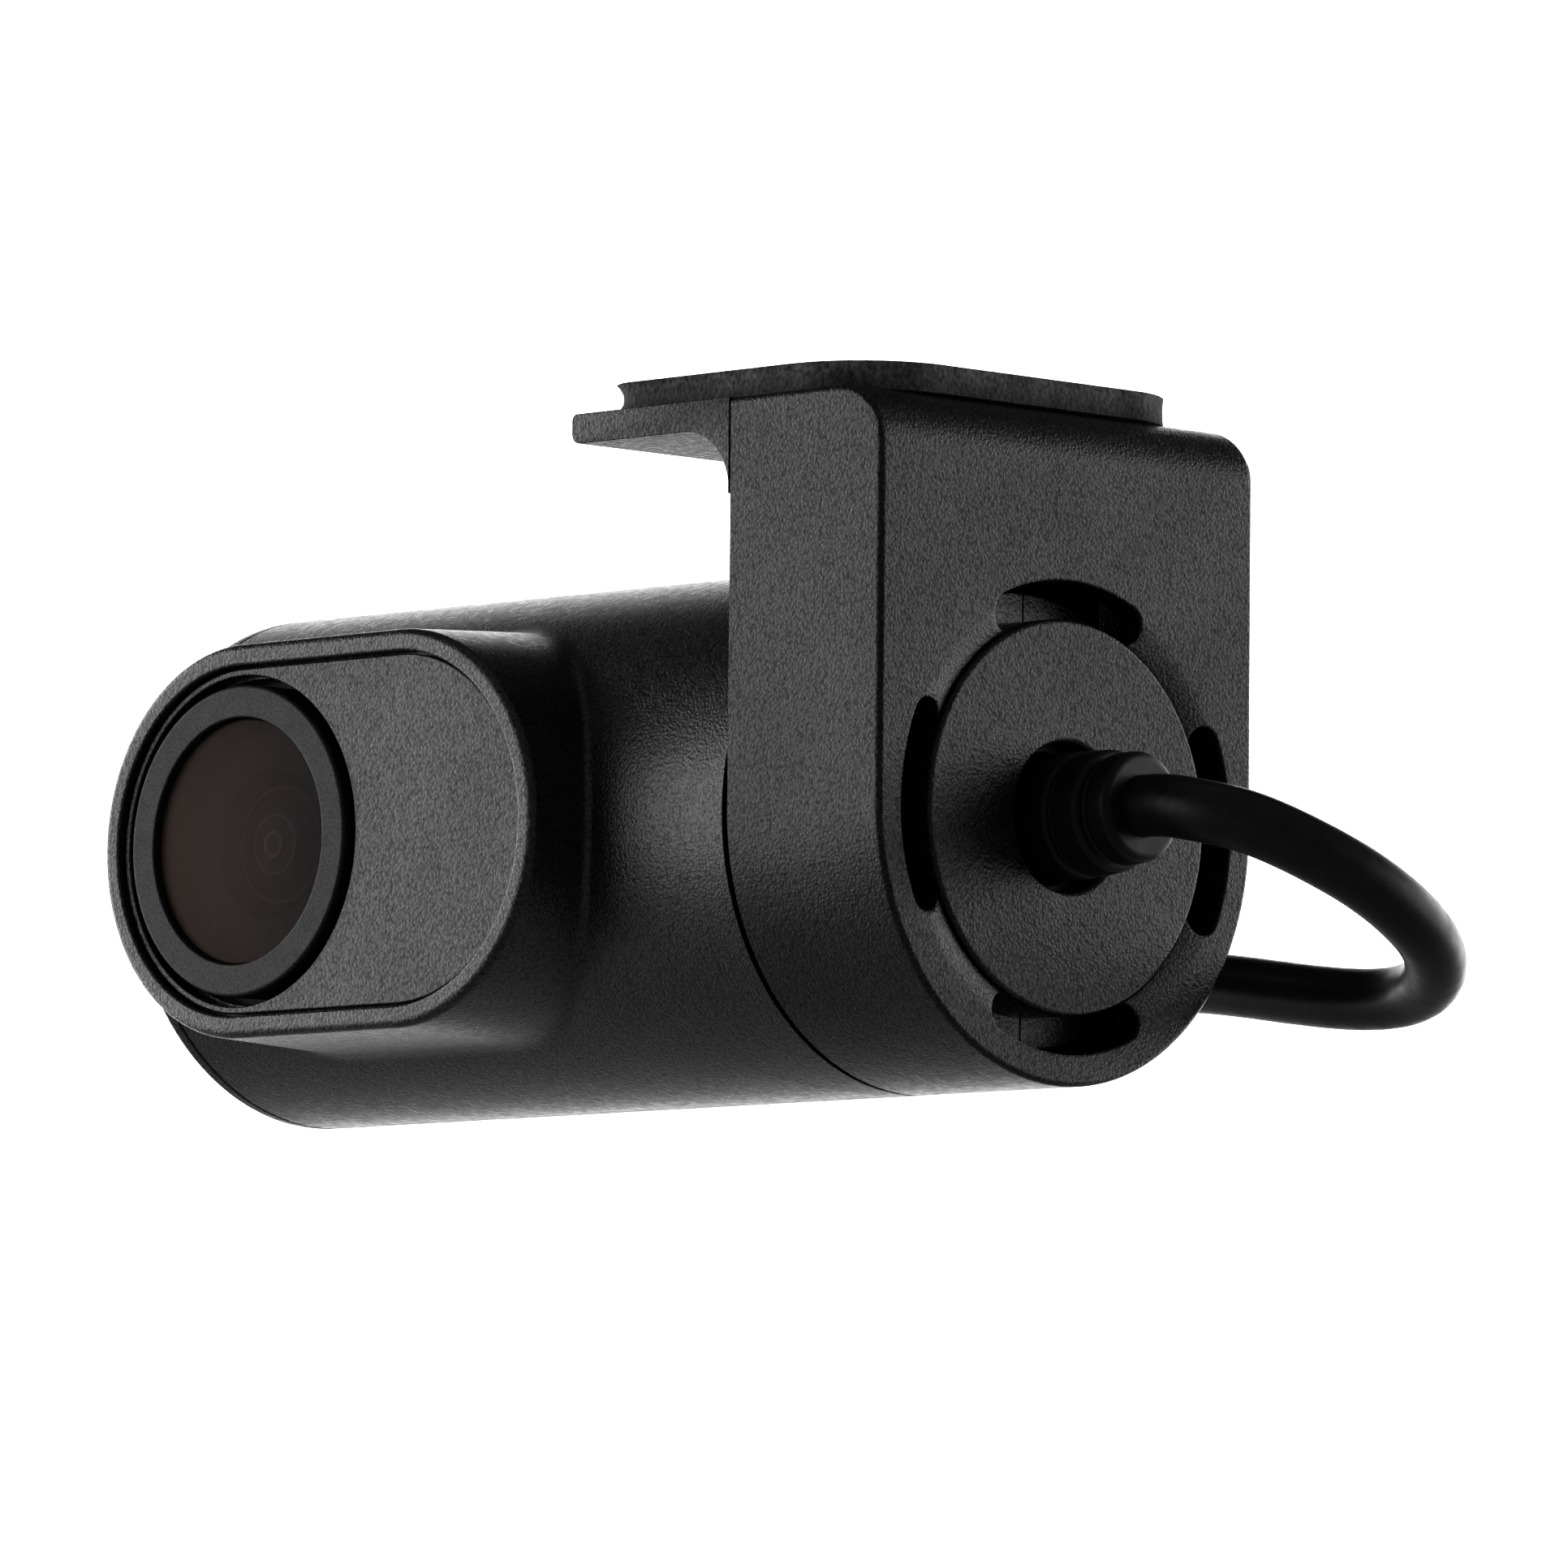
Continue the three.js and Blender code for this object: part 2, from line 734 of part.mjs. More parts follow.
const barrel = new THREE.Group();
barrel.add(
  named('front_shell', frontShell(), housingPlastic()),
  named('rear_shell', rearShell(), housingPlastic()),
  named('end_cap', endCap(), housingPlastic()),
  named('nose_plate', nosePlate(), rimPlastic()),
  named('friction_ring', frictionRing(), rubber()),
  named('end_disc', endDisc(), housingPlastic()),
  named('strain_relief', strainRelief(), rubber()),
);

const optics = new THREE.Group();
optics.add(
  named('lens_trim_ring', lensTrimRing(), satinPlastic()),
  named('cover_glass', coverGlass(), tintedGlass()),
  named('glass_gasket', glassGasket(), rubber()),
  named('lens_barrel', lensBarrel(), anodised()),
  named('lens_front_element', lensFrontElement(), lensGlass()),
  named('lens_stop_ring', lensStopRing(), anodised()),
  named('lens_rear_element', lensRearElement(), lensGlass()),
  named('lens_holder', lensHolder(), chipBlack()),
  named('infrared_filter', infraredFilter(), filterGlass()),
  named('holder_screw_upper', panScrew(lensX, holderScrewZ, -3.0, -7.8), screwSteel()),
  named('holder_screw_lower', panScrew(lensX, -holderScrewZ, -3.0, -7.8), screwSteel()),
);

const electronics = new THREE.Group();
electronics.add(
  named('image_sensor', imageSensor(), chipBlack()),
  named('sensor_board', sensorBoard(), boardGreen()),
  named('board_link', boardLink(), chipBlack()),
  named('main_board', mainBoard(), boardGreen()),
  named('processor_chip', processorChip(), chipBlack()),
  named('shield_can', shieldCan(), canSteel()),
  named('memory_chip', memoryChip(), chipBlack()),
  named('power_inductor', powerInductor(), chipBlack()),
  named('clock_crystal', clockCrystal(), canSteel()),
  named('bulk_capacitor', bulkCapacitor(), canSteel()),
  named('lead_socket', leadSocket(), rimPlastic()),
  named('lead_housing', leadHousing(), rimPlastic()),
  named('inner_lead', innerLead(), leadJacket()),
);
boardPosts.forEach(([x, z], i) => {
  const screw = panScrew(x, z, 0.2, 6.5);
  electronics.add(named(['board_screw_left', 'board_screw_right'][i], screw, screwSteel()));
});

const lead = new THREE.Group();
lead.add(
  named('lead_cable', leadCable(), leadJacket()),
  named('lead_hank', leadHank(), leadJacket()),
  named('lead_tail', leadTail(), leadJacket()),
  named('hank_tie', hankTie(), rubber()),
  named('plug_grip', plugGrip(), rubber()),
  named('plug_pin', plugPin(), contactGold()),
);

const camera = new THREE.Group();
camera.add(barrel, optics, electronics);

const windowCamera = new THREE.Group();
windowCamera.position.z = -axisDrop;
windowCamera.add(bracket, camera, lead);

export default windowCamera;
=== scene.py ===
"""Window camera: the outside of a small vehicle camera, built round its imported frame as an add-on.

Lengths in the shape functions are millimetres from the barrel axis. piece() turns them into metres in the row
frame.
"""

import math

import bmesh
import bpy
import numpy as np
from bpy.props import FloatProperty, FloatVectorProperty, PointerProperty
from bpy.types import Operator, Panel, PropertyGroup
from mathutils import Matrix, Vector
from mathutils.geometry import tessellate_polygon


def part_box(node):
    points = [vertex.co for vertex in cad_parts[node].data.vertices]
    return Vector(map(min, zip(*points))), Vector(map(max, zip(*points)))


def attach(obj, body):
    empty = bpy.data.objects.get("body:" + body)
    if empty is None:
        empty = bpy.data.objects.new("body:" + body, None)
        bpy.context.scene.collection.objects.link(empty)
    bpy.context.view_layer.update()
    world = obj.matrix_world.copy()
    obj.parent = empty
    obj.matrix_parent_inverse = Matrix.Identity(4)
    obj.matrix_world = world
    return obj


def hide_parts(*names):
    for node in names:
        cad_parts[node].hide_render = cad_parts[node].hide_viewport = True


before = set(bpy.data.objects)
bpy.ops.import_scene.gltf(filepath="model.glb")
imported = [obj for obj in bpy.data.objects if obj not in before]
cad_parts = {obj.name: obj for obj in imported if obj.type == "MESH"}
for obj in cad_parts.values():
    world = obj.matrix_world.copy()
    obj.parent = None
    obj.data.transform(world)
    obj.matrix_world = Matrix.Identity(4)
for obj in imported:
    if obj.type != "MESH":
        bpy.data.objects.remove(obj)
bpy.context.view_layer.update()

bl_info = {
    "name": "Window Camera",
    "version": (1, 0, 0),
    "blender": (4, 5, 0),
    "location": "View3D > Sidebar > Window Camera",
    "description": "Builds a vehicle window camera in its side bracket, with its lead",
    "category": "Add Mesh",
}

MM = 0.001


def corners(node):
    """The lowest and highest corner of a frame node, in millimetres."""
    low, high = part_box(node)
    return np.array(low) / MM, np.array(high) / MM


# ---- Sizes from the frame ----

cap_low, cap_high = corners("end_cap")
AXIS_Z = (cap_low[2] + cap_high[2]) / 2
BARREL_RADIUS = (cap_high[2] - cap_low[2]) / 2
CAP_LEFT = cap_low[0]
shell_low, shell_high = corners("rear_shell")
SHELL_LEFT, FLANGE_FACE = shell_low[0], shell_high[0]
NOSE_FRONT = -corners("front_shell")[0][1]
arm_low, arm_high = corners("arm_cover")
ARM_INNER, ARM_OUTER = arm_low[0], arm_high[0]
ARM_TOP = arm_high[2] - AXIS_Z
PLATE_LEFT = corners("mount_bracket")[0][0]
face_low, face_high = corners("nose_plate")
FACE_RADIUS = (face_high[2] - face_low[2]) / 2
NOSE_LEFT, NOSE_RIGHT = face_low[0] + FACE_RADIUS, face_high[0] - FACE_RADIUS
ring_low, ring_high = corners("lens_trim_ring")
LENS_X = (ring_low[0] + ring_high[0]) / 2
glass_low, glass_high = corners("cover_glass")
disc_low, disc_high = corners("end_disc")
DISC_RADIUS = (disc_high[2] - disc_low[2]) / 2
RELIEF_END = corners("strain_relief")[1][0]
hank_low, hank_high = corners("lead_hank")
grip_low, grip_high = corners("plug_grip")
pin_low, pin_high = corners("plug_pin")

# ---- Design sizes, in millimetres ----

BARREL_RIGHT = 1.05
BARREL_WALL = 1.6
NOSE_RADIUS = 11.3
NOSE_DRAFT = math.tan(math.radians(3))
RIM_EDGE = 0.5
POCKET_RADIUS = 10.07
POCKET_FLOOR = 17.5
MOUTH_RADIUS = 9.3
ARM_WALL = 1.7
ARM_TOP_FILLET = 3.4
PLATE_THICKNESS = 1.7
PLATE_FILLET = 3.6
HUB_RADIUS = 11.0
FLANGE_RADIUS = 12.9
HUB_BORE = 9.4
SLOT_OUTER, SLOT_INNER = 13.2, 11.0
SLOT_HALF_ANGLE = math.radians(28.5)
WINDOW_HOLE = 11.15
DISH_RADIUS = 12.95
DISH_DEPTH = 0.32
WINDOW_RADIUS = 7.05
TRIM_RADIUS = 8.95
GLASS_FORWARD = 0.25
RELIEF_HOLE = 4.2
LEAD_DIAMETER = 3.5
HANK_TURNS = 3
HANK_FOLD = 7.0
HANK_PITCH = 3.6
HANK_FIRST = 18.8
HANK_MIDDLE = -0.4
PIN_RINGS = (0.42, 0.6, 0.77)
PIN_RING_WIDTH = 0.5
HOLE_IN_FACEPLATE = 9.5
LENS_RIM = -15.6

# The lead from the strain relief to the hank, and from the hank to the plug: metres from the barrel axis.
LEAD_ROUTE = [
    (0.0186, 0.0, 0.0003),
    (0.0206, 0.0, 0.00025),
    (0.02295, 0.0003, -0.00015),
    (0.02508, 0.0012, -0.0007),
    (0.02693, 0.00262, -0.0016),
    (0.02835, 0.00448, -0.0027),
    (0.02925, 0.00663, -0.00385),
    (0.02955, 0.00895, -0.00505),
    (0.02925, 0.01127, -0.0062),
    (0.02835, 0.01343, -0.0072),
    (0.02693, 0.01528, -0.0081),
    (0.02508, 0.0167, -0.0088),
    (0.02292, 0.0176, -0.00925),
    (0.0206, 0.01795, -0.0094),
    (0.0166, 0.018, -0.00915),
    (0.0128, 0.018, -0.00865),
    (0.0089, 0.0181, -0.0081),
    (0.005, 0.0184, -0.0077),
    (0.0, 0.0187, -0.00745),
    (-0.0039, 0.0188, -0.0074),
]
TAIL_ROUTE = [
    (-0.0537, 0.0258, 0.007),
    (-0.05295, 0.0252, 0.0094),
    (-0.05115, 0.0242, 0.0114),
    (-0.04875, 0.0231, 0.0124),
    (-0.04635, 0.0225, 0.0126),
    (-0.04475, 0.0224, 0.0126),
]


# ---- Settings ----


def length_property(name, description, millimetres):
    return FloatProperty(
        name=name, description=description, default=millimetres * MM, min=0, unit="LENGTH", precision=5
    )


def colour_property(name, description, colour):
    return FloatVectorProperty(
        name=name, description=description, default=colour, size=3, min=0, max=1, subtype="COLOR"
    )


class WindowCameraSizes(PropertyGroup):
    parting_line: length_property("Parting line", "Gap between the two barrel shells", 0.14)
    arm_edge: length_property("Arm edge", "Radius of the arm's outer edge", 0.36)
    pad_hollow: length_property("Pad hollow", "How far the foam pad's sides pull in", 0.42)
    pebble: length_property("Pebble", "Size of the grain moulded into the plastic", 0.2)
    lead_length: length_property("Lead length", "Length of the lead from the relief to its plug", 360)


class WindowCameraColours(PropertyGroup):
    housing: colour_property("Housing", "Moulded plastic of the barrel and arm", (0.011, 0.011, 0.0112))
    trim: colour_property("Trim ring", "Plastic of the ring round the window", (0.011, 0.0125, 0.012))
    pad: colour_property("Pad", "Adhesive foam", (0.086, 0.086, 0.084))
    rubber: colour_property("Rubber", "Strain relief, tie and plug grip", (0.005, 0.005, 0.005))
    jacket: colour_property("Jacket", "Jacket of the lead", (0.011, 0.011, 0.0113))
    # Reflection tints of the window: painted light at the outer side, painted shade at the inner side, in the
    # coating's warm and cool hues.
    window_painted_lit: colour_property("Window, outer side", "Coating at the outer side", (0.86, 0.60, 0.50))
    window_painted_shaded: colour_property("Window, inner side", "Coating at the inner side", (0.10, 0.055, 0.09))


# ---- Surfaces ----


def unit(vectors):
    return vectors / np.linalg.norm(vectors, axis=-1, keepdims=True)


def grid(points, wrap_rows=False, wrap_columns=True):
    """A grid of points as a surface: each cell between two rows and two columns is a four-sided face."""
    rows, columns = points.shape[:2]
    row, column = np.meshgrid(
        np.arange(rows if wrap_rows else rows - 1),
        np.arange(columns if wrap_columns else columns - 1),
        indexing="ij",
    )
    below, beside = (row + 1) % rows, (column + 1) % columns
    here, under = row * columns, below * columns
    cells = (here + column, under + column, under + beside, here + beside)
    return points.reshape(-1, 3), [np.stack(cells, -1).reshape(-1, 4)]


def flat_fill(*outlines):
    """The flat face inside the first outline and outside the others, as triangles between their points."""
    triangles = tessellate_polygon([[Vector(p) for p in outline] for outline in outlines])
    return np.concatenate(outlines), [np.array(triangles)]


def rounded(outline, steps=6, rest=0.04):
    """A closed outline through corners (a, b, radius). Each corner becomes an arc tangent to both of its
    sides: its centre lies on their bisector, the radius over the sine of half the angle away from the
    corner. A point on each side, a rest away from the arc, keeps the flat between two arcs flat when it is
    shaded."""
    points = np.array([corner[:2] for corner in outline], float)
    radii = np.array([corner[2] for corner in outline], float)
    first, last = unit(np.roll(points, 1, 0) - points), unit(np.roll(points, -1, 0) - points)
    half = np.arccos(np.clip(np.sum(first * last, 1), -1, 1)) / 2
    cut = radii / np.tan(half)
    length = np.linalg.norm(np.roll(points, -1, 0) - points, axis=1)
    after = np.clip((length - cut - np.roll(cut, -1)) / 3, 0, rest)
    before = np.roll(after, 1)
    share = np.linspace(0, 1, steps + 1)[:, None]
    pieces = []
    for k, here in enumerate(points):
        if radii[k] == 0:
            pieces.append(here[None])
            continue
        centre = here + unit(first[k] + last[k]) * radii[k] / math.sin(half[k])
        start, end = here + first[k] * cut[k] - centre, here + last[k] * cut[k] - centre
        sweep = math.pi - 2 * half[k]
        arc = centre + (np.sin((1 - share) * sweep) * start + np.sin(share * sweep) * end) / math.sin(sweep)
        lead_in, lead_out = here + first[k] * (cut[k] + before[k]), here + last[k] * (cut[k] + after[k])
        pieces += [lead_in[None], arc, lead_out[None]]
    return np.concatenate(pieces)


def turned(profile, axis, steps=96, at=(0, 0, 0), start=0, end=360):
    """A profile of (radius, along) points turned about an axis: at angle t a point lies along the axis by
    its second value, and radius times (cos t, sin t) across it. The profile closes on itself, or on the
    axis where it starts and ends there. A part turn has a flat cap at each end."""
    whole = end - start == 360
    looped = max(profile[0, 0], profile[-1, 0]) > 1e-6
    t = np.radians(np.linspace(start, end, steps if whole else steps + 1, endpoint=not whole))
    radius, along = profile.T
    first, second = np.outer(np.cos(t), radius), np.outer(np.sin(t), radius)
    length = np.broadcast_to(along, first.shape)
    places = {"x": (length, first, second), "y": (first, length, second), "z": (first, second, length)}
    points, faces = grid(np.stack(places[axis], -1) + at, wrap_rows=whole, wrap_columns=looped)
    if not whole:
        count = len(profile)
        faces += [np.arange(count)[None], np.arange(len(points) - count, len(points))[None]]
    return points, faces


def place(points, x=None, y=None, z=None):
    """Outline points (a, b) as points in space, with the missing coordinate filled in."""
    missing = [value for value in (x, y, z) if value is not None][0]
    filled = np.broadcast_to(missing, len(points))
    columns = {"x": (filled, points[:, 0], points[:, 1]), "y": (points[:, 0], filled, points[:, 1])}
    columns["z"] = (points[:, 0], points[:, 1], filled)
    return np.stack(columns["x" if x is not None else "y" if y is not None else "z"], -1)


def inset(outline, distance):
    """A closed outline moved inwards: each point goes along the mean normal of its two sides."""
    along = unit(np.roll(outline, -1, 0) - np.roll(outline, 1, 0))
    normal = np.stack([-along[:, 1], along[:, 0]], -1)
    area = np.sum(outline[:, 0] * np.roll(outline[:, 1], -1) - outline[:, 1] * np.roll(outline[:, 0], -1))
    return outline + normal * distance * np.sign(area)


def quarter(steps):
    """The angles of a quarter circle, from 0 to 90 degrees."""
    return np.linspace(0, math.pi / 2, steps + 1)


def piece(name, parts, material, body, replaced=(), crease=35):
    """Joins closed surfaces into one object in the row frame. Points that meet are welded, so that seams
    and poles close, faces are turned outwards, and edges sharper than the crease angle stay sharp."""
    faces, start = [], 0
    for points, blocks in parts:
        for block in blocks:
            faces += (block + start).tolist()
        start += len(points)
    points = (np.concatenate([part[0] for part in parts]) + (0, 0, AXIS_Z)) * MM
    mesh = bpy.data.meshes.new(name)
    mesh.from_pydata(points.tolist(), [], faces)
    shape = bmesh.new()
    shape.from_mesh(mesh)
    bmesh.ops.remove_doubles(shape, verts=shape.verts, dist=1e-7)
    bmesh.ops.recalc_face_normals(shape, faces=shape.faces)
    shape.to_mesh(mesh)
    shape.free()
    mesh.shade_smooth()
    mesh.set_sharp_from_angle(angle=math.radians(crease))
    made = bpy.data.objects.new(name, mesh)
    bpy.context.scene.collection.objects.link(made)
    mesh.materials.append(material)
    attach(made, body)
    if replaced:
        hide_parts(*replaced)
    return made


# ---- Outlines ----


def arch(radius, top, corner=0.4):
    """The arm's outline in Y and Z: a half circle below the axis, straight sides, and a flat top with two
    corners."""
    across = np.linspace(-1, 1, 25)[:-1]
    down = np.linspace(1, 0, 31)[:-1]
    turn = np.linspace(0, -math.pi, 121)[:-1]
    bend = quarter(6)[:-1]
    edge, side = radius - corner, top - corner
    return np.concatenate(
        [
            np.stack([across * edge, np.full(len(across), top)], -1),
            np.stack([edge + corner * np.sin(bend), side + corner * np.cos(bend)], -1),
            np.stack([np.full(len(down), radius), down * side], -1),
            radius * np.stack([np.cos(turn), np.sin(turn)], -1),
            np.stack([np.full(len(down), -radius), (1 - down) * side], -1),
            np.stack([-edge - corner * np.cos(bend), side + corner * np.sin(bend)], -1),
        ]
    )


def circle(radius, steps=160):
    t = np.linspace(0, 2 * math.pi, steps, endpoint=False)
    return radius * np.stack([np.cos(t), np.sin(t)], -1)


def nose_stations(right_corner=47, left_corner=62):
    """Stations round the nose as (centre, angle): the outline at a radius is the centre plus the radius
    times (cos angle, sin angle) in X and Z. A station stands exactly on each corner angle."""
    def bend(*marks):
        spans = zip(marks, marks[1:])
        counts = [(a, b, max(2, round(abs(b - a) / 1.5))) for a, b in spans]
        return np.concatenate([np.linspace(a, b, count, endpoint=False) for a, b, count in counts])

    straight = np.linspace(NOSE_RIGHT, NOSE_LEFT, 20, endpoint=False)
    right = bend(-90, -right_corner, right_corner, 90)
    left = bend(90, 180 - left_corner, 180 + left_corner, 270)
    centre = np.concatenate(
        [
            np.full(len(right), NOSE_RIGHT),
            straight,
            np.full(len(left), NOSE_LEFT),
            NOSE_LEFT + NOSE_RIGHT - straight,
        ]
    )
    angle = np.concatenate([right, np.full(len(straight), 90), left, np.full(len(straight), 270)])
    return centre, np.radians(angle)


def nose_outline(radius, stations):
    centre, angle = stations
    return np.stack([centre + radius * np.cos(angle), radius * np.sin(angle)], -1)


# ---- Front shell ----


def on_barrel(x, turn, radius):
    """A point on the barrel's front, where turn is the angle above the lens's level."""
    return np.stack([x, -radius * np.cos(turn), radius * np.sin(turn)], -1)


def front_shell(gap):
    """The front half of the barrel and the nose as one skin. Its rings run from the shell's own edge over
    the barrel to the nose's foot, up the nose, over the rim into the pocket, down the mouth and back inside
    the barrel."""
    half_turn = math.pi / 2 * BARREL_RADIUS
    right_corner = math.degrees(math.atan2(half_turn, BARREL_RIGHT - NOSE_RIGHT))
    left_corner = math.degrees(math.atan2(half_turn, NOSE_LEFT - SHELL_LEFT))
    stations = nose_stations(right_corner, left_corner)
    centre, angle = stations
    cos, sin = np.cos(angle), np.sin(angle)

    with np.errstate(divide="ignore"):
        to_end = np.where(cos > 0, (BARREL_RIGHT - centre) / cos, (SHELL_LEFT - centre) / cos)
        to_side = half_turn / np.abs(sin)
    far = np.minimum(np.where(np.abs(cos) < 1e-9, np.inf, to_end), to_side)
    edge_x, edge_turn = centre + far * cos, far * sin / BARREL_RADIUS

    def foot(base, radius, growth):
        """Where a wall that leans out from the base radius meets the barrel of that radius: the wall's
        radius and the meeting point's depth fix each other, so they are worked out in turns."""
        reach = np.full(len(angle), base)
        for _ in range(6):
            depth = np.sqrt(radius**2 - (reach * sin) ** 2)
            reach = base + growth * (NOSE_FRONT - depth)
        return reach, depth

    def spread(reach, radius, shares):
        """Rings over the barrel from the shell's edge, at share 0, to the foot, at share 1."""
        foot_x, foot_turn = centre + reach * cos, np.arcsin(reach * sin / radius)
        return [
            on_barrel(edge_x + (foot_x - edge_x) * share, edge_turn + (foot_turn - edge_turn) * share, radius)
            for share in shares
        ]

    fillet = 0.45
    reach, depth = foot(NOSE_RADIUS, BARREL_RADIUS, NOSE_DRAFT)
    outside = spread(reach + fillet, BARREL_RADIUS, np.linspace(0, 1, 25))
    meeting = np.stack([centre + reach * cos, -depth, reach * sin], -1)
    on_wall = np.stack(
        [
            centre + (reach - NOSE_DRAFT * fillet) * cos,
            -depth - fillet,
            (reach - NOSE_DRAFT * fillet) * sin,
        ],
        -1,
    )
    blend = [
        (1 - w) ** 2 * outside[-1] + 2 * w * (1 - w) * meeting + w**2 * on_wall
        for w in np.linspace(0, 1, 7)[1:]
    ]
    shoulder = NOSE_FRONT - RIM_EDGE
    wall = []
    for share in np.linspace(0, 1, 9)[1:]:
        y = (depth + fillet) * (1 - share) + shoulder * share
        radius = NOSE_RADIUS + NOSE_DRAFT * (NOSE_FRONT - y)
        wall.append(np.stack([centre + radius * cos, -y, radius * sin], -1))
    lip = NOSE_RADIUS + NOSE_DRAFT * RIM_EDGE - RIM_EDGE
    inner_edge, rest = 0.15, 0.06
    profile = [(lip + RIM_EDGE * math.cos(a), shoulder + RIM_EDGE * math.sin(a)) for a in quarter(8)[1:]]
    profile += [(lip - rest, NOSE_FRONT), (POCKET_RADIUS + inner_edge + rest, NOSE_FRONT)]
    profile += [
        (POCKET_RADIUS + inner_edge * (1 - math.sin(a)), NOSE_FRONT - inner_edge * (1 - math.cos(a)))
        for a in quarter(4)
    ]
    profile += [
        (POCKET_RADIUS, POCKET_FLOOR),
        (MOUTH_RADIUS + 0.1, POCKET_FLOOR),
        (MOUTH_RADIUS, POCKET_FLOOR - 0.1),
    ]
    rim = [place(nose_outline(radius, stations), y=-y) for radius, y in profile]
    bore = BARREL_RADIUS - BARREL_WALL
    mouth, _ = foot(MOUTH_RADIUS, bore, 0)
    inside = spread(mouth, bore, np.linspace(1, 0, 13))
    rings = np.array(outside + blend + wall + rim + inside)
    return grid(rings - (0, gap / 2, 0), wrap_rows=True)


def hub(start, end):
    """Half of the spool at the barrel's end, which turns in the arm: an end wall, two flanges and their
    grooves."""
    profile = rounded(
        [
            (BARREL_RADIUS - BARREL_WALL + 0.3, BARREL_RIGHT - BARREL_WALL, 0),
            (BARREL_RADIUS - BARREL_WALL + 0.3, BARREL_RIGHT - 0.05, 0),
            (HUB_RADIUS, BARREL_RIGHT - 0.05, 0),
            (HUB_RADIUS, 3.3, 0),
            (FLANGE_RADIUS, 3.3, 0.1),
            (FLANGE_RADIUS, 4.9, 0.1),
            (HUB_RADIUS, 4.9, 0),
            (HUB_RADIUS, 8.0, 0),
            (FLANGE_RADIUS, 8.0, 0.1),
            (FLANGE_RADIUS, FLANGE_FACE, 0.2),
            (HUB_BORE, FLANGE_FACE, 0.1),
            (HUB_BORE, BARREL_RIGHT - BARREL_WALL, 0),
        ],
        3,
    )
    return turned(profile, "x", 60, start=start, end=end)


def moved(part, offset):
    return part[0] + offset, part[1]


def rear_shell(gap):
    """The rear half of the barrel: a wall turned through half a circle, its hub and two hollow board
    posts."""
    wall = rounded(
        [
            (BARREL_RADIUS, SHELL_LEFT, 0.1),
            (BARREL_RADIUS, BARREL_RIGHT, 0.25),
            (BARREL_RADIUS - BARREL_WALL, BARREL_RIGHT, 0),
            (BARREL_RADIUS - BARREL_WALL, SHELL_LEFT, 0),
        ],
        4,
    )
    shell = turned(wall, "x", 120, start=-90, end=90)
    parts = [shell, hub(-90, 90)]
    for name in ("board_screw_left", "board_screw_right"):
        low, high = corners(name)
        x, z = (low[0] + high[0]) / 2, (low[2] + high[2]) / 2 - AXIS_Z
        seat = math.sqrt((BARREL_RADIUS - BARREL_WALL) ** 2 - z**2)
        post = np.array([(0.85, 2.5), (2.2, 2.5), (2.2, seat), (0.85, seat)])
        parts.append(turned(post, "y", 32, at=(x, 0, z)))
    return [moved(part, (0, gap / 2, 0)) for part in parts]


def end_cap():
    """The cap: a disc with a rounded rim and a ring behind it that fits inside the barrel."""
    face = CAP_LEFT + 1.0
    bore = BARREL_RADIUS - BARREL_WALL - 0.3
    profile = rounded(
        [
            (0, CAP_LEFT, 0),
            (BARREL_RADIUS, CAP_LEFT, 0.45),
            (BARREL_RADIUS, face, 0.1),
            (bore, face, 0),
            (bore, face + 2.7, 0.2),
            (bore - 1.3, face + 2.7, 0.2),
            (bore - 1.3, face + 0.5, 0),
            (0, face + 0.5, 0),
        ],
        6,
    )
    return turned(profile, "x", 180)


def nose_plate():
    """The faceplate: a flat plate inside the nose outline, with a round hole for the trim ring."""
    stations = nose_stations()
    front, back, edge, rest = -face_low[1], -face_high[1], 0.1, 0.04
    lens = np.array([LENS_X, 0])

    def rings(outline, growing):
        """Rings from the front face over a small edge to the back face. The hole grows where the outline
        shrinks."""
        steps = [(edge + rest, front)]
        steps += [(edge * (1 - math.sin(a)), front - edge * (1 - math.cos(a))) for a in quarter(4)]
        steps += [(0, back)]
        return [place(outline(growing * offset), y=-y) for offset, y in steps]

    outer = rings(lambda offset: nose_outline(FACE_RADIUS + offset, stations), -1)
    inner = rings(lambda offset: circle(HOLE_IN_FACEPLATE + offset) + lens, 1)
    sides = [grid(np.array(outer)), grid(np.array(inner))]
    return [*sides, flat_fill(outer[0], inner[0]), flat_fill(outer[-1], inner[-1])]


# ---- Arm and bracket ----


def dish(radius):
    """How far the shallow dish round the disc lies below the arm's face, falling smoothly from its outer
    radius."""
    share = np.clip((DISH_RADIUS - radius) / (DISH_RADIUS - WINDOW_HOLE), 0, 1)
    return DISH_DEPTH * share**1.5


def slot_reach(radius, grow):
    """The half angle of a curved slot at a radius: its round end is a circle on the slot's middle line, and
    the angle to a point of that circle follows from the law of cosines."""
    middle, end = (SLOT_OUTER + SLOT_INNER) / 2, (SLOT_OUTER - SLOT_INNER) / 2
    centre_angle = SLOT_HALF_ANGLE - end / middle
    cosine = (radius**2 + middle**2 - (end + grow) ** 2) / (2 * radius * middle)
    return centre_angle + np.arccos(np.clip(cosine, -1, 1))


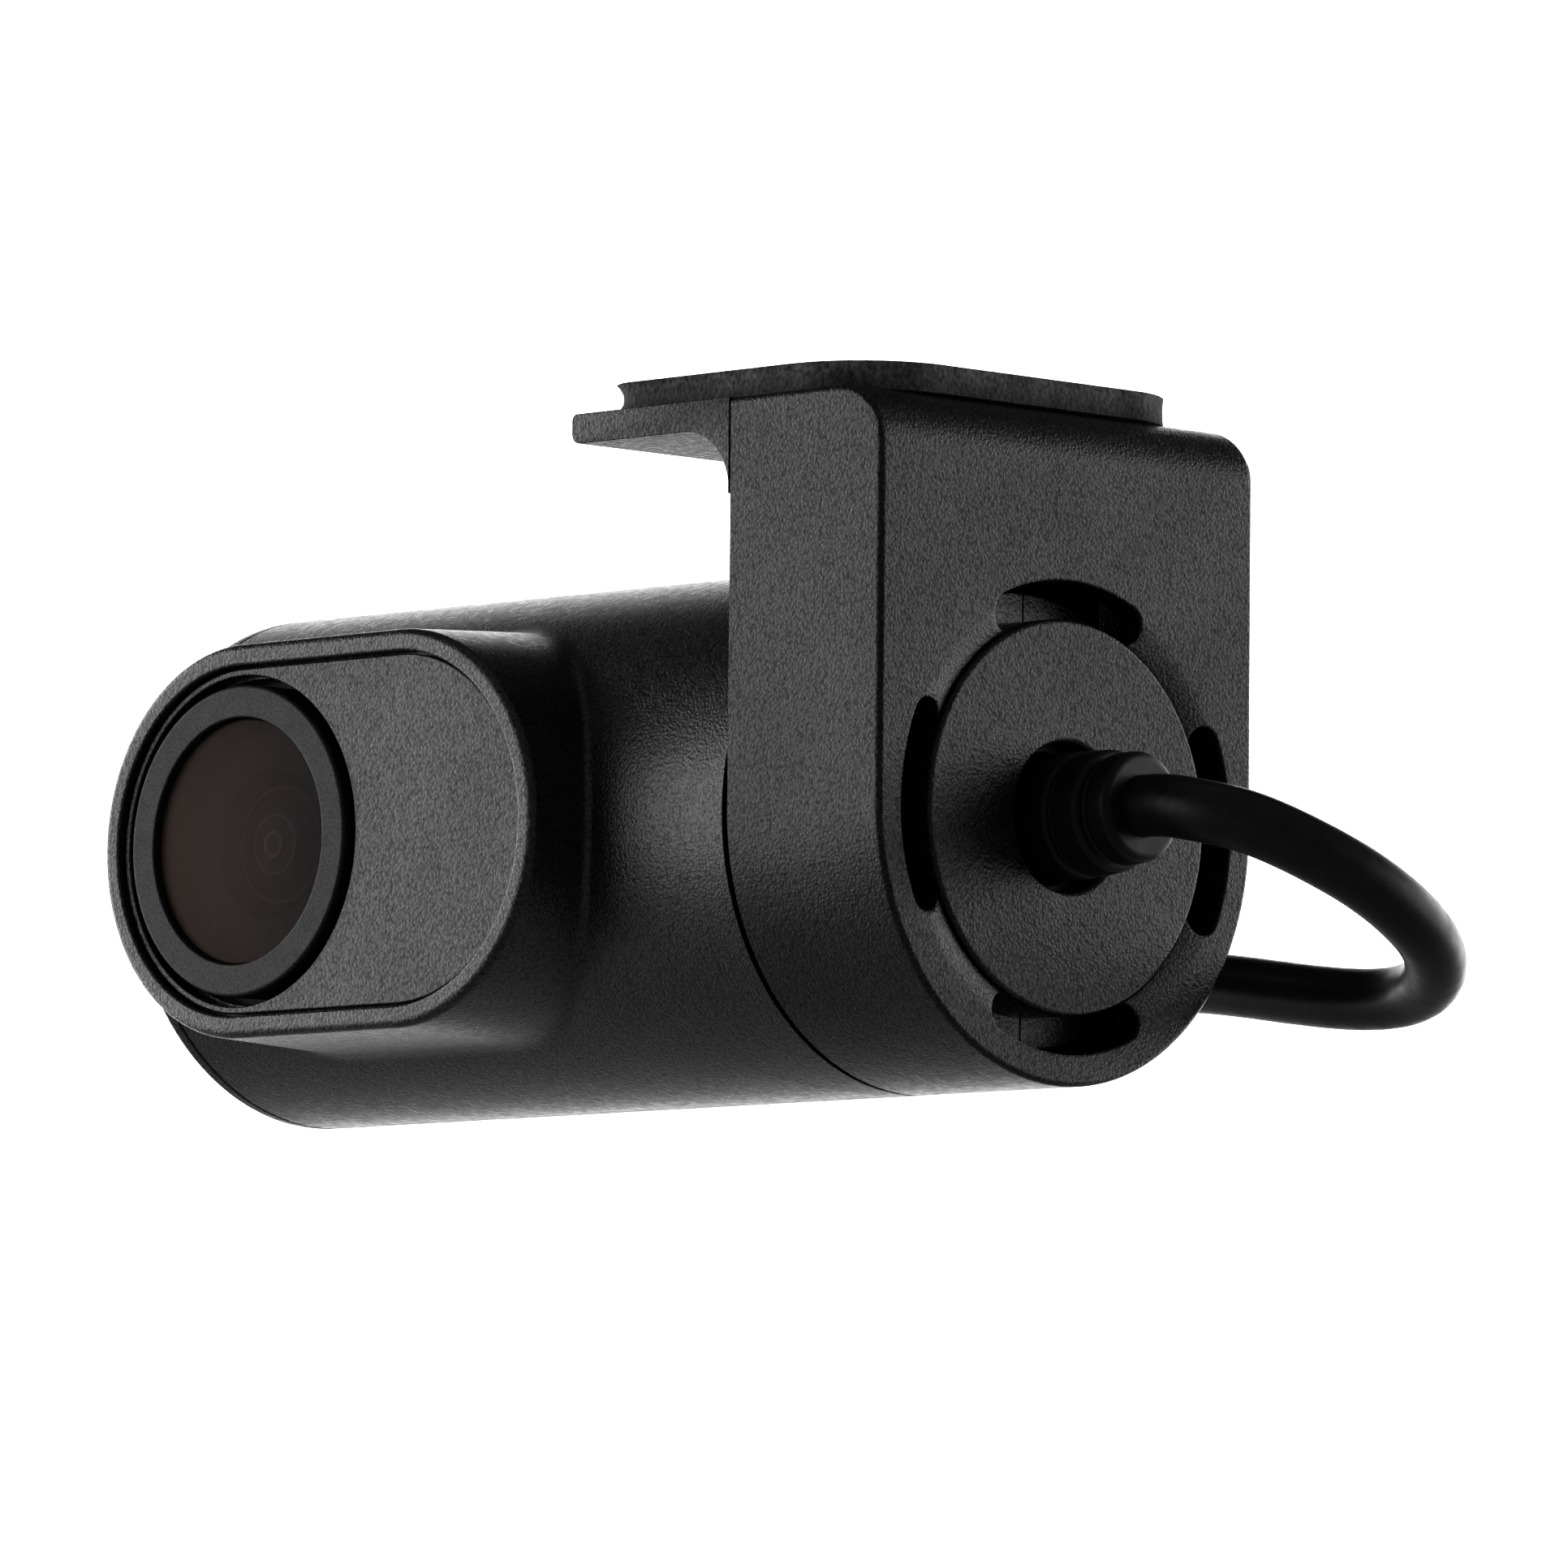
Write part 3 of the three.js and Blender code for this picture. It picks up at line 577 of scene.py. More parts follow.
def window_outline(grow):
    """The arm's opening, a round window with four curved slots, as (radius, angle, depth) for each
    point."""
    outer = SLOT_OUTER + grow
    rise = DISH_RADIUS + (outer - DISH_RADIUS) * np.sin(quarter(6))[1:]
    fall = np.linspace(WINDOW_HOLE + grow, DISH_RADIUS, 9)
    up = np.concatenate([fall, rise])
    pieces = []
    for turn in range(4):
        middle = turn * math.pi / 2
        span = slot_reach(outer, grow)
        over = np.linspace(-span, span, 41)[1:-1]
        hole = slot_reach(WINDOW_HOLE + grow, grow)
        gap = np.linspace(hole, math.pi / 2 - hole, 31)[1:-1]
        pieces += [
            (up, middle - slot_reach(up, grow)),
            (np.full(len(over), outer), middle + over),
            (up[::-1], middle + slot_reach(up[::-1], grow)),
            (np.full(len(gap), WINDOW_HOLE + grow), middle + gap),
        ]
    radius, angle = (np.concatenate([part[k] for part in pieces]) for k in (0, 1))
    return radius, angle, dish(radius)


def polar(radius, angle, x):
    x = np.broadcast_to(x, np.shape(radius))
    return np.stack([x, radius * np.cos(angle), radius * np.sin(angle)], -1)


def dish_patch(turn, grow):
    """The part of the dish between two slots: rows at one radius, each running from slot end to slot
    end."""
    radius = np.linspace(WINDOW_HOLE + grow, DISH_RADIUS, 9)[:, None]
    reach = slot_reach(radius, grow)
    share = np.concatenate([[0], np.linspace(0, 1, 31)[1:-1], [1]])
    angle = turn * math.pi / 2 + reach + (math.pi / 2 - 2 * reach) * share
    radius = np.broadcast_to(radius, angle.shape)
    return grid(polar(radius, angle, ARM_OUTER - dish(radius)), wrap_columns=False)


def arm_cover(edge):
    """The deep outer half of the arm. Each ring of its outside is the arch outline at one X, set in by the
    arm's edge radius at the sides and by the larger fillet at the top, as a circle falls away from its
    tangent."""
    rest, lip = 0.06, 0.12
    inner_x = ARM_OUTER - ARM_WALL

    def fall(x, radius):
        return radius - np.sqrt(max(radius**2 - max(x - (ARM_OUTER - radius), 0) ** 2, 0))

    falls = [1 - math.sin(a) for a in quarter(14)]
    levels = {float(ARM_OUTER - radius * share) for radius in (edge, ARM_TOP_FILLET) for share in falls}
    levels |= {float(x) for x in np.linspace(ARM_INNER + lip, ARM_OUTER - ARM_TOP_FILLET, 8)}
    rings = [place(arch(BARREL_RADIUS - edge - rest, ARM_TOP - ARM_TOP_FILLET - rest), x=ARM_OUTER)]
    rings += [
        place(arch(BARREL_RADIUS - fall(x, edge), ARM_TOP - fall(x, ARM_TOP_FILLET)), x=x)
        for x in sorted(levels, reverse=True)
    ]
    rings += [place(arch(BARREL_RADIUS - lip, ARM_TOP - lip), x=ARM_INNER)]
    cavity = arch(BARREL_RADIUS - ARM_WALL, ARM_TOP - ARM_WALL)
    rings += [place(cavity, x=ARM_INNER), place(cavity, x=inner_x)]
    radius, angle, depth = window_outline(lip)
    face_edge = polar(radius, angle, ARM_OUTER - depth)
    rows = [face_edge]
    for grow, drop in ((0.035, 0.035), (0.0, lip)):
        radius, angle, _ = window_outline(grow)
        rows.append(polar(radius, angle, ARM_OUTER - depth - drop))
    rows.append(polar(radius, angle, inner_x))
    on_face = window_outline(lip)
    flat = on_face[2] <= 1e-9
    slot_end = float(slot_reach(DISH_RADIUS, lip))
    between = np.linspace(slot_end, math.pi / 2 - slot_end, 31)[1:-1]
    loop = flat_loop(on_face, flat, between)
    parts = [grid(np.array(rings)), grid(np.array(rows))]
    parts += [dish_patch(turn, lip) for turn in range(4)]
    parts += [flat_fill(rings[0], loop), flat_fill(rings[-1], rows[-1])]
    return parts


def flat_loop(outline, flat, between):
    """The opening's outline at the arm's face: the slots' outer ends, joined by the dish's outer edge."""
    radius, angle, _ = outline
    quarter_points = len(radius) // 4
    pieces = []
    for turn in range(4):
        part = slice(turn * quarter_points, (turn + 1) * quarter_points)
        keep = flat[part]
        pieces.append(polar(radius[part][keep], angle[part][keep], ARM_OUTER))
        pieces.append(polar(np.full(len(between), DISH_RADIUS), turn * math.pi / 2 + between, ARM_OUTER))
    return np.concatenate(pieces)


def mount_bracket():
    """The bracket: a plate whose fillet runs down the arm, a bearing wall with a round hole, and two screw
    posts."""
    bottom = ARM_TOP - PLATE_THICKNESS
    right = ARM_INNER - 0.02
    inner = right - 0.02
    profile = rounded(
        [
            (right, ARM_TOP, 0),
            (PLATE_LEFT, ARM_TOP, 0.4),
            (PLATE_LEFT, bottom, 0.6),
            (inner, bottom, PLATE_FILLET),
            (inner, bottom - PLATE_FILLET - 0.1, 0),
            (right, bottom - PLATE_FILLET - 0.1, 0),
        ],
        12,
    )
    edge = 0.05
    rows = [(edge * (1 - math.sin(a)), BARREL_RADIUS - edge * (1 - math.cos(a))) for a in quarter(4)]
    sections = [place(inset(profile, offset), y=-y) for offset, y in rows]
    sections += [place(inset(profile, offset), y=y) for offset, y in reversed(rows)]
    plate = [grid(np.array(sections)), flat_fill(sections[0]), flat_fill(sections[-1])]

    wall_outline = arch(BARREL_RADIUS - ARM_WALL - 0.2, ARM_TOP - ARM_WALL - 0.2)
    bearing = circle(HUB_RADIUS + 0.25)
    front, back = ARM_INNER + 0.05, ARM_INNER + 1.7
    outside = np.array([place(wall_outline, x=x) for x in (front, back)])
    inside = np.array([place(bearing, x=x) for x in (front, back)])
    wall = [grid(outside), grid(inside), flat_fill(outside[0], inside[0]), flat_fill(outside[1], inside[1])]

    posts = []
    for name in ("bracket_screw_front", "bracket_screw_rear"):
        low, high = corners(name)
        at = ((low[0] + high[0]) / 2, (low[1] + high[1]) / 2, 0)
        top = ARM_TOP - ARM_WALL - 0.3
        posts.append(turned(np.array([(1.0, 14.5), (2.3, 14.5), (2.3, top), (1.0, top)]), "z", 32, at=at))
    return plate + wall + posts


def foam_pad(hollow):
    """The pad: a rectangle with round corners whose sides pull in between two lips, rough like cut foam. A
    ring's inset is the hollow times a sine over the height, less towards the lead's side, plus a seeded
    roughness."""
    low, high = corners("foam_pad")
    corners_of = [
        (low[0], low[1], 3.0),
        (high[0], low[1], 6.0),
        (high[0], high[1], 6.0),
        (low[0], high[1], 3.0),
    ]
    sparse = rounded(corners_of, 14)
    closed = np.vstack([sparse, sparse[:1]])
    along = np.concatenate([[0], np.cumsum(np.linalg.norm(np.diff(closed, axis=0), axis=1))])
    at = np.linspace(0, along[-1], 420, endpoint=False)
    outline = np.stack([np.interp(at, along, closed[:, k]) for k in (0, 1)], -1)
    random = np.random.default_rng(7)
    height = np.linspace(0, 1, 13)
    rough = random.normal(0, 0.022, (len(height), len(outline)))
    rough = (rough + np.roll(rough, 1, 1) + np.roll(rough, -1, 1)) / 1.7
    share = (outline[:, 0] - low[0]) / (high[0] - low[0])
    depth = hollow * (1 - share) ** 0.7
    rings = []
    for level, noise in zip(height, rough):
        waist = np.sin(math.pi * level) ** 0.8
        offset = 0.08 + depth * waist + np.abs(noise)
        ring = inset(outline, 1.0) - outline
        z = low[2] + (high[2] - low[2]) * level - AXIS_Z
        rings.append(place(outline + ring * offset[:, None], z=z))
    return [grid(np.array(rings)), flat_fill(rings[0]), flat_fill(rings[-1])]


# ---- Lens ----


def about_lens(outline, steps=144, corner_steps=5):
    return turned(rounded(outline, corner_steps), "y", steps, at=(LENS_X, 0, 0))


def lens_trim_ring():
    """The ring round the window: a flat front with a rounded rim, and a foot behind the faceplate."""
    front = ring_low[1]
    return about_lens(
        [
            (WINDOW_RADIUS + 0.03, glass_low[1] - 0.05, 0),
            (WINDOW_RADIUS + 0.03, front, 0.12),
            (TRIM_RADIUS, front, 0.22),
            (TRIM_RADIUS, -16.2, 0),
            (9.6, -16.2, 0),
            (9.6, -15.2, 0),
            (7.95, -15.2, 0),
            (7.95, glass_low[1] - 0.05, 0),
        ],
        180,
    )


def cover_glass():
    radius = (glass_high[0] - glass_low[0]) / 2
    front, back = glass_low[1] - GLASS_FORWARD, glass_high[1]
    outline = [(0, front, 0), (WINDOW_RADIUS, front, 0.1), (WINDOW_RADIUS, glass_low[1], 0)]
    outline += [(radius, glass_low[1], 0.1), (radius, back, 0.1), (0, back, 0)]
    return about_lens(outline)


def dome(radius, rim, peak, steps=16):
    """Half of a lens's profile from its rim to its peak: a circle's arc through both, worked out from the
    rise."""
    rise = abs(peak - rim)
    ball = (radius**2 + rise**2) / (2 * rise)
    r = radius * np.cos(quarter(steps))
    height = np.sqrt(ball**2 - r**2) - (ball - rise)
    return [(float(a), float(rim + math.copysign(h, peak - rim))) for a, h in zip(r, height)]


def lens_front_element():
    back = corners("lens_front_element")[1][1]
    peak = corners("lens_front_element")[0][1]
    profile = np.array([(0.0, back), (LENS_RADIUS, back), *dome(LENS_RADIUS, LENS_RIM, peak)])
    return turned(profile, "y", 96, at=(LENS_X, 0, 0))


# ---- End disc and strain relief ----


def end_disc():
    inner = disc_low[0]
    profile = rounded(
        [
            (RELIEF_HOLE, ARM_OUTER, 0.3),
            (DISC_RADIUS, ARM_OUTER, 0.28),
            (DISC_RADIUS, FLANGE_FACE + 0.3, 0),
            (HUB_BORE - 0.3, FLANGE_FACE + 0.3, 0),
            (HUB_BORE - 0.3, inner, 0),
            (HUB_BORE - 1.8, inner, 0),
            (HUB_BORE - 1.8, ARM_OUTER - 1.6, 0),
            (RELIEF_HOLE, ARM_OUTER - 1.6, 0),
        ],
        6,
    )
    return turned(profile, "x", 180)


def strain_relief():
    """The relief: a head behind the disc, then three soft ribs and a collar, leaning up a little towards
    the lead."""
    profile = rounded(
        [
            (0, 8.6, 0),
            (5.4, 8.6, 0.2),
            (5.4, ARM_OUTER - 1.9, 0.2),
            (3.6, ARM_OUTER - 1.9, 0.2),
            (3.55, 14.65, 0.3),
            (3.15, 14.8, 0.15),
            (3.15, 15.0, 0.15),
            (3.55, 15.15, 0.35),
            (3.4, 16.9, 0.35),
            (2.85, 17.05, 0.15),
            (2.85, 17.3, 0.12),
            (3.15, 17.45, 0.3),
            (3.08, RELIEF_END, 0.5),
            (0, RELIEF_END, 0),
        ],
        5,
    )
    points, faces = turned(profile, "x", 96)
    lean = 0.3 * np.clip((points[:, 0] - 13) / (RELIEF_END - 13), 0, 1) ** 1.5
    return points + np.stack([lean * 0, lean * 0, lean], -1), faces


# ---- Lead ----


def smooth_path(points, step):
    """A smooth line through the points: a natural cubic spline over the distance along them, one row of
    linear equations per point for its second derivative, sampled at an even step."""
    gaps = np.linalg.norm(np.diff(points, axis=0), axis=1)
    at = np.concatenate([[0], np.cumsum(gaps)])
    count = len(points)
    matrix, right = np.eye(count), np.zeros((count, 3))
    inside = np.arange(1, count - 1)
    matrix[inside, inside - 1] = gaps[:-1]
    matrix[inside, inside] = 2 * (gaps[:-1] + gaps[1:])
    matrix[inside, inside + 1] = gaps[1:]
    slopes = np.diff(points, axis=0) / gaps[:, None]
    right[inside] = 6 * np.diff(slopes, axis=0)
    bend = np.linalg.solve(matrix, right)
    where = np.linspace(0, at[-1], int(at[-1] / step) + 1)
    k = np.clip(np.searchsorted(at, where) - 1, 0, count - 2)
    before, after, gap = (where - at[k])[:, None], (at[k + 1] - where)[:, None], gaps[k][:, None]
    return (
        (bend[k] * after**3 + bend[k + 1] * before**3) / (6 * gap)
        + (points[k] / gap - bend[k] * gap / 6) * after
        + (points[k + 1] / gap - bend[k + 1] * gap / 6) * before
    )


def hank_points():
    """The hank's turns: a half circle at each end, joined by straight runs. The lead moves one pitch back
    at each right-hand fold, and leaves the last left-hand fold a quarter of the way round."""
    left = hank_low[0] + HANK_FOLD + LEAD_DIAMETER / 2
    right = hank_high[0] - HANK_FOLD - LEAD_DIAMETER / 2
    points = []
    for turn in range(HANK_TURNS):
        y = HANK_FIRST + HANK_PITCH * turn
        last = turn == HANK_TURNS - 1
        start = LEAD_ROUTE[-1][0] / MM if turn == 0 else right
        run = np.linspace(start, left, 8)[1:-1]
        fold = np.linspace(-math.pi / 2, -math.pi if last else -1.5 * math.pi, 7 if last else 13)
        points += [(x, y, HANK_MIDDLE - HANK_FOLD) for x in run]
        points += [(left + HANK_FOLD * math.cos(a), y, HANK_MIDDLE + HANK_FOLD * math.sin(a)) for a in fold]
        if not last:
            points += [(x, y, HANK_MIDDLE + HANK_FOLD) for x in np.linspace(left, right, 8)[1:-1]]
            for a in np.linspace(math.pi / 2, -math.pi / 2, 13):
                shift = HANK_PITCH * (0.5 - a / math.pi)
                points.append(
                    (right + HANK_FOLD * math.cos(a), y + shift, HANK_MIDDLE + HANK_FOLD * math.sin(a))
                )
    points.append((left - HANK_FOLD, HANK_FIRST + HANK_PITCH * (HANK_TURNS - 1), 3.2))
    return points


def lead_line():
    route, tail = np.array(LEAD_ROUTE) / MM, np.array(TAIL_ROUTE) / MM
    return smooth_path(np.vstack([route, hank_points(), tail]), 0.5)


def tube(line, radius, sides=24):
    """A round tube along a line. The section's first direction is carried from point to point, and what it
    gains along the line is taken off, so that the tube doesn't twist. Each end is closed flat by a ring drawn
    in to the line's end point."""
    along = unit(np.gradient(line, axis=0))
    side = np.zeros_like(line)
    carried = unit(np.cross(along[0], (0, 0, 1)))
    for i, direction in enumerate(along):
        carried = unit(carried - (carried @ direction) * direction)
        side[i] = carried
    up = np.cross(along, side)
    t = np.linspace(0, 2 * math.pi, sides, endpoint=False)
    across = np.cos(t)[:, None] * side[:, None] + np.sin(t)[:, None] * up[:, None]
    rings = line[:, None] + radius * across
    first, last = line[:1, None] + 0 * rings[:1], line[-1:, None] + 0 * rings[-1:]
    return grid(np.concatenate([first, rings, last]))


def hank_tie():
    """The tie: a flat strap round the hank, its section carried round a rounded rectangle, and its square
    head."""
    low, high = corners("hank_tie")
    band = 1.0
    inner_low = np.array([hank_low[1] - 0.3, hank_low[2] - AXIS_Z - 0.3])
    inner_high = np.array([hank_high[1] + 0.3, hank_high[2] - AXIS_Z + 0.3])

    def loop(grow):
        (a, b), (c, d) = inner_low - grow, inner_high + grow
        radius = 1.6 + grow
        return rounded([(a, b, radius), (c, b, radius), (c, d, radius), (a, d, radius)], 10)

    section = rounded([(0, low[0], 0.2), (band, low[0], 0.3), (band, high[0], 0.3), (0, high[0], 0.2)], 4)
    strap = grid(np.array([place(loop(grow), x=x) for grow, x in section]), wrap_rows=True)
    y = [inner_high[0] + 0.4, high[1]]
    head = []
    left, right, half, corner, edge = low[0] + 0.3, high[0] - 0.3, 2.6, 0.8, 0.4
    square = [(left, -half, corner), (right, -half, corner), (right, half, corner), (left, half, corner)]
    outline = rounded(square, 6)
    steps = [(0, y[0])]
    steps += [(edge * (1 - math.cos(a)), y[1] - edge * (1 - math.sin(a))) for a in quarter(5)]
    for offset, depth in steps:
        head.append(place(inset(outline, offset), y=depth))
    return [strap, grid(np.array(head)), flat_fill(head[0]), flat_fill(head[-1])]


def about_plug(outline, steps=64):
    y, z = (grip_low[1] + grip_high[1]) / 2, (grip_low[2] + grip_high[2]) / 2 - AXIS_Z
    return turned(rounded(outline, 5), "x", steps, at=(0, y, z))


def plug_grip():
    """The plug's grip: a ribbed neck where the lead enters, and a barrel with shallow grip rings."""
    left, right = grip_low[0], grip_high[0]
    outline = [(0, left, 0), (2.3, left, 0.3)]
    for ring in range(4):
        x = left + 0.9 + 1.15 * ring
        outline += [(2.45 + 0.12 * ring, x, 0.1), (2.1 + 0.12 * ring, x + 0.2, 0.1)]
        outline += [(2.1 + 0.12 * ring, x + 0.5, 0.1), (2.55 + 0.12 * ring, x + 0.7, 0.1)]
    outline += [(3.1, left + 5.8, 0.6), (3.88, left + 7, 0.6)]
    for ring in range(3):
        x = left + 9 + 1.6 * ring
        outline += [(3.88, x, 0.15), (3.6, x + 0.3, 0.15), (3.6, x + 0.7, 0.15), (3.88, x + 1.0, 0.15)]
    outline += [(3.88, right - 0.9, 0.5), (3.3, right, 0.2), (0, right, 0)]
    return about_plug(outline)


def plug_pin():
    """The plug's pin: four contacts with thin insulating rings between them, and a waisted tip."""
    left, right = pin_low[0], pin_high[0]
    outline = [(0, left, 0), (1.25, left, 0)]
    for share in PIN_RINGS:
        x = left + (right - left) * share
        end = x + PIN_RING_WIDTH
        outline += [(1.25, x, 0), (1.19, x + 0.05, 0), (1.19, end - 0.05, 0), (1.25, end, 0)]
    outline += [(1.25, right - 1.5, 0.2), (0.85, right - 1.2, 0.2)]
    outline += [(1.2, right - 0.6, 0.3), (0.45, right, 0.25)]
    outline += [(0, right, 0)]
    return about_plug(outline)


# ---- Finishes ----

GRAIN_SPAN = (0.0, 0.42)
GRAIN_DEPTH = 0.035
GRAIN_CONTRAST = 0.45
# Painted light and shade in the window's base colour: lit at the outer end, nearly black towards the arm.
VEIL_PAINTED_LIT, VEIL_PAINTED_SHADED = (0.135, 0.088, 0.072), (0.012, 0.006, 0.010)
LENS_RADIUS = 3.6
# Painted highlights and shade on the front lens: bright rims and dark bands, by share of its radius.
LENS_PAINTED_RINGS = [
    (0.0, (0.16, 0.06, 0.045)),
    (0.13, (0.24, 0.10, 0.07)),
    (0.19, (0.95, 0.58, 0.46)),
    (0.24, (0.05, 0.026, 0.022)),
    (0.42, (0.12, 0.075, 0.065)),
    (0.47, (0.68, 0.42, 0.35)),
    (0.52, (0.06, 0.038, 0.034)),
    (0.86, (0.12, 0.08, 0.07)),
    (0.91, (0.58, 0.38, 0.33)),
    (1.0, (0.02, 0.013, 0.012)),
]


class Finish:
    """A material's node tree, with short ways to add nodes and set the shader."""

    def __init__(self, name):
        self.material = bpy.data.materials.new(name)
        self.material.use_nodes = True
        self.tree = self.material.node_tree
        self.tree.nodes.clear()
        self.shader = self.add("ShaderNodeBsdfPrincipled")
        output = self.add("ShaderNodeOutputMaterial")
        self.tree.links.new(self.shader.outputs[0], output.inputs["Surface"])
        self.place = self.add("ShaderNodeTexCoord").outputs["Object"]

    def add(self, kind, inputs=None, **settings):
        node = self.tree.nodes.new(kind)
        for name, value in settings.items():
            setattr(node, name, value)
        for name, value in (inputs or {}).items():
            if isinstance(value, bpy.types.NodeSocket):
                self.tree.links.new(value, node.inputs[name])
            else:
                node.inputs[name].default_value = value
        return node

    def set(self, **values):
        for name, value in values.items():
            self.shader.inputs[name.replace("_", " ")].default_value = value

    def feed(self, name, output):
        self.tree.links.new(output, self.shader.inputs[name])

    def noise(self, size, detail=2.0):
        """Noise whose features are about size millimetres across."""
        inputs = {"Vector": self.place, "Scale": 1 / (size * MM), "Detail": detail}
        return self.add("ShaderNodeTexNoise", inputs).outputs["Fac"]

    def cells(self, size):
        """The distance to the middle of the nearest cell, with cells about size millimetres apart."""
        inputs = {"Vector": self.place, "Scale": 1 / (size * MM)}
        return self.add("ShaderNodeTexVoronoi", inputs).outputs["Distance"]

    def spread(self, value, low, high, span=(0.3, 0.7)):
        """The value's middle span turned into a range."""
        inputs = {"Value": value, 1: span[0], 2: span[1], 3: low, 4: high}
        return self.add("ShaderNodeMapRange", inputs).outputs[0]

    def sum(self, first, second, kind="ADD"):
        return self.add("ShaderNodeMath", {0: first, 1: second}, operation=kind).outputs[0]

    def shades(self, colour, amount):
        """A colour made lighter and darker by a factor that varies over the surface."""
        return self.add("ShaderNodeVectorMath", {0: colour, "Scale": amount}, operation="SCALE").outputs[0]

    def between(self, factor, first, second):
        """One colour where the factor is 0 and another where it is 1."""
        first, second = (c if isinstance(c, bpy.types.NodeSocket) else (*c, 1.0) for c in (first, second))
        return self.add("ShaderNodeMix", {0: factor, 6: first, 7: second}, data_type="RGBA").outputs[2]

    def bump(self, height, depth):
        """Relief of that many millimetres."""
        inputs = {"Height": height, "Distance": depth * MM, "Strength": 1.0}
        self.feed("Normal", self.add("ShaderNodeBump", inputs).outputs[0])


def pebbled_plastic(name, colour, pebble, roughness, gloss):
    """Moulded plastic with a fine grain: rounded cells of pebble size broken up by noise, darker and duller
    between them, with broad soft patches of sheen and a few pale specks of dust."""
    finish = Finish(name)
    cells = finish.cells(pebble)
    grain = finish.sum(finish.noise(pebble * 0.8, 3.0), finish.sum(cells, 0.5, "MULTIPLY"), "SUBTRACT")
    cloudy = finish.spread(finish.noise(6.0, 3.0), 0.9, 1.1)
    toned = finish.spread(grain, 1 - GRAIN_CONTRAST, 1 + GRAIN_CONTRAST, GRAIN_SPAN)
    shade = finish.sum(toned, cloudy, "MULTIPLY")
    speck = finish.spread(finish.cells(2.6), 1.0, 0.0, (0.018, 0.03))
    finish.feed("Base Color", finish.between(speck, finish.shades(colour, shade), (0.09, 0.09, 0.085)))
    finish.feed("Specular IOR Level", finish.sum(shade, gloss, "MULTIPLY"))
    finish.feed("Roughness", finish.spread(finish.noise(pebble * 2.5), roughness - 0.06, roughness + 0.06))
    finish.bump(grain, GRAIN_DEPTH)
    return finish.material


def satin_plastic(name, colour, roughness=0.42, gloss=0.28):
    """Smooth moulded plastic with a very fine speckle and faint rub marks."""
    finish = Finish(name)
    speckle = finish.noise(0.14, 3.0)
    shade = finish.spread(speckle, 0.65, 1.35)
    speck = finish.spread(finish.cells(1.7), 1.0, 0.0, (0.02, 0.035))
    finish.feed("Base Color", finish.between(speck, finish.shades(colour, shade), (0.08, 0.09, 0.085)))
    finish.feed("Specular IOR Level", finish.sum(shade, gloss, "MULTIPLY"))
    finish.feed("Roughness", finish.spread(finish.noise(1.2), roughness - 0.05, roughness + 0.05))
    finish.bump(speckle, 0.01)
    return finish.material


def cut_foam(colour):
    """Closed-cell foam cut with a knife: open pores of mixed size, with pale painted glints scattered over it
    where the cut would catch the light, and painted shade that darkens it towards its bottom edge.
    """
    finish = Finish("cut_foam")
    pores = finish.cells(0.34)
    fine = finish.noise(0.22, 4.0)
    height = finish.sum(fine, finish.sum(pores, 0.5, "MULTIPLY"), "SUBTRACT")
    mottle = finish.noise(0.3, 2.0)
    broad = finish.spread(finish.noise(2.2, 3.0), 0.6, 1.6)
    patchy = finish.sum(finish.spread(mottle, 0.4, 2.0), broad, "MULTIPLY")
    # Painted shade: the pad's colour is darker towards its bottom edge and lighter towards its top.
    height_up = finish.add("ShaderNodeSeparateXYZ", {"Vector": finish.place}).outputs["Z"]
    foot = finish.spread(height_up, 0.45, 1.25, (-1.5 * MM, -0.3 * MM))
    coloured = finish.shades(colour, finish.sum(patchy, foot, "MULTIPLY"))
    # Painted highlights: pale glints at scattered cells.
    painted_glint = finish.spread(finish.cells(3.1), 1.0, 0.0, (0.035, 0.06))
    finish.feed("Base Color", finish.between(painted_glint, coloured, (0.16, 0.16, 0.155)))
    finish.feed("Roughness", finish.spread(mottle, 0.78, 0.95))
    finish.set(Specular_IOR_Level=0.35)
    finish.bump(height, 0.09)
    return finish.material


def soft_rubber(name, colour, roughness, grain=0.35):
    """Rubber or soft vinyl: faint mottling, slightly uneven gloss and a shallow moulded grain."""
    finish = Finish(name)
    mottle = finish.noise(1.4, 4.0)
    finish.feed("Base Color", finish.shades(colour, finish.spread(mottle, 0.75, 1.3)))
    finish.feed("Roughness", finish.spread(finish.noise(0.9, 3.0), roughness - 0.06, roughness + 0.07))
    finish.set(Specular_IOR_Level=0.32)
    finish.bump(finish.noise(grain, 2.0), 0.006)
    return finish.material


def tinted_window(warm, cool):
    """The coated window, partly clear, so that the lens shows faintly behind it, with a trace of dust. Its
    base colour and the tint of its reflection are painted light and shade: lighter and warm brown towards the
    outer end, darker and cool towards the arm, as the light falls across it."""
    finish = Finish("tinted_window")
    split = finish.add("ShaderNodeSeparateXYZ", {"Vector": finish.place}).outputs["X"]
    edge = (LENS_X - WINDOW_RADIUS) * MM, (LENS_X + WINDOW_RADIUS) * MM
    across = finish.spread(split, 0.0, 1.0, edge)
    # Painted reflection: the reflection's tint runs from lit and warm at the outer end to dark and cool at
    # the arm.
    tint = finish.between(across, warm, cool)
    dust = finish.spread(finish.cells(0.9), 1.0, 0.0, (0.012, 0.02))
    # Painted shade: the base colour runs from lit at the outer end to almost black at the arm.
    painted_veil = finish.between(across, VEIL_PAINTED_LIT, VEIL_PAINTED_SHADED)
    finish.feed("Base Color", finish.between(dust, painted_veil, (0.10, 0.09, 0.09)))
    finish.feed("Specular Tint", tint)
    finish.feed("Roughness", finish.spread(finish.noise(3.0), 0.29, 0.31))
    finish.set(Alpha=0.55, Specular_IOR_Level=0.16)
    return finish.material


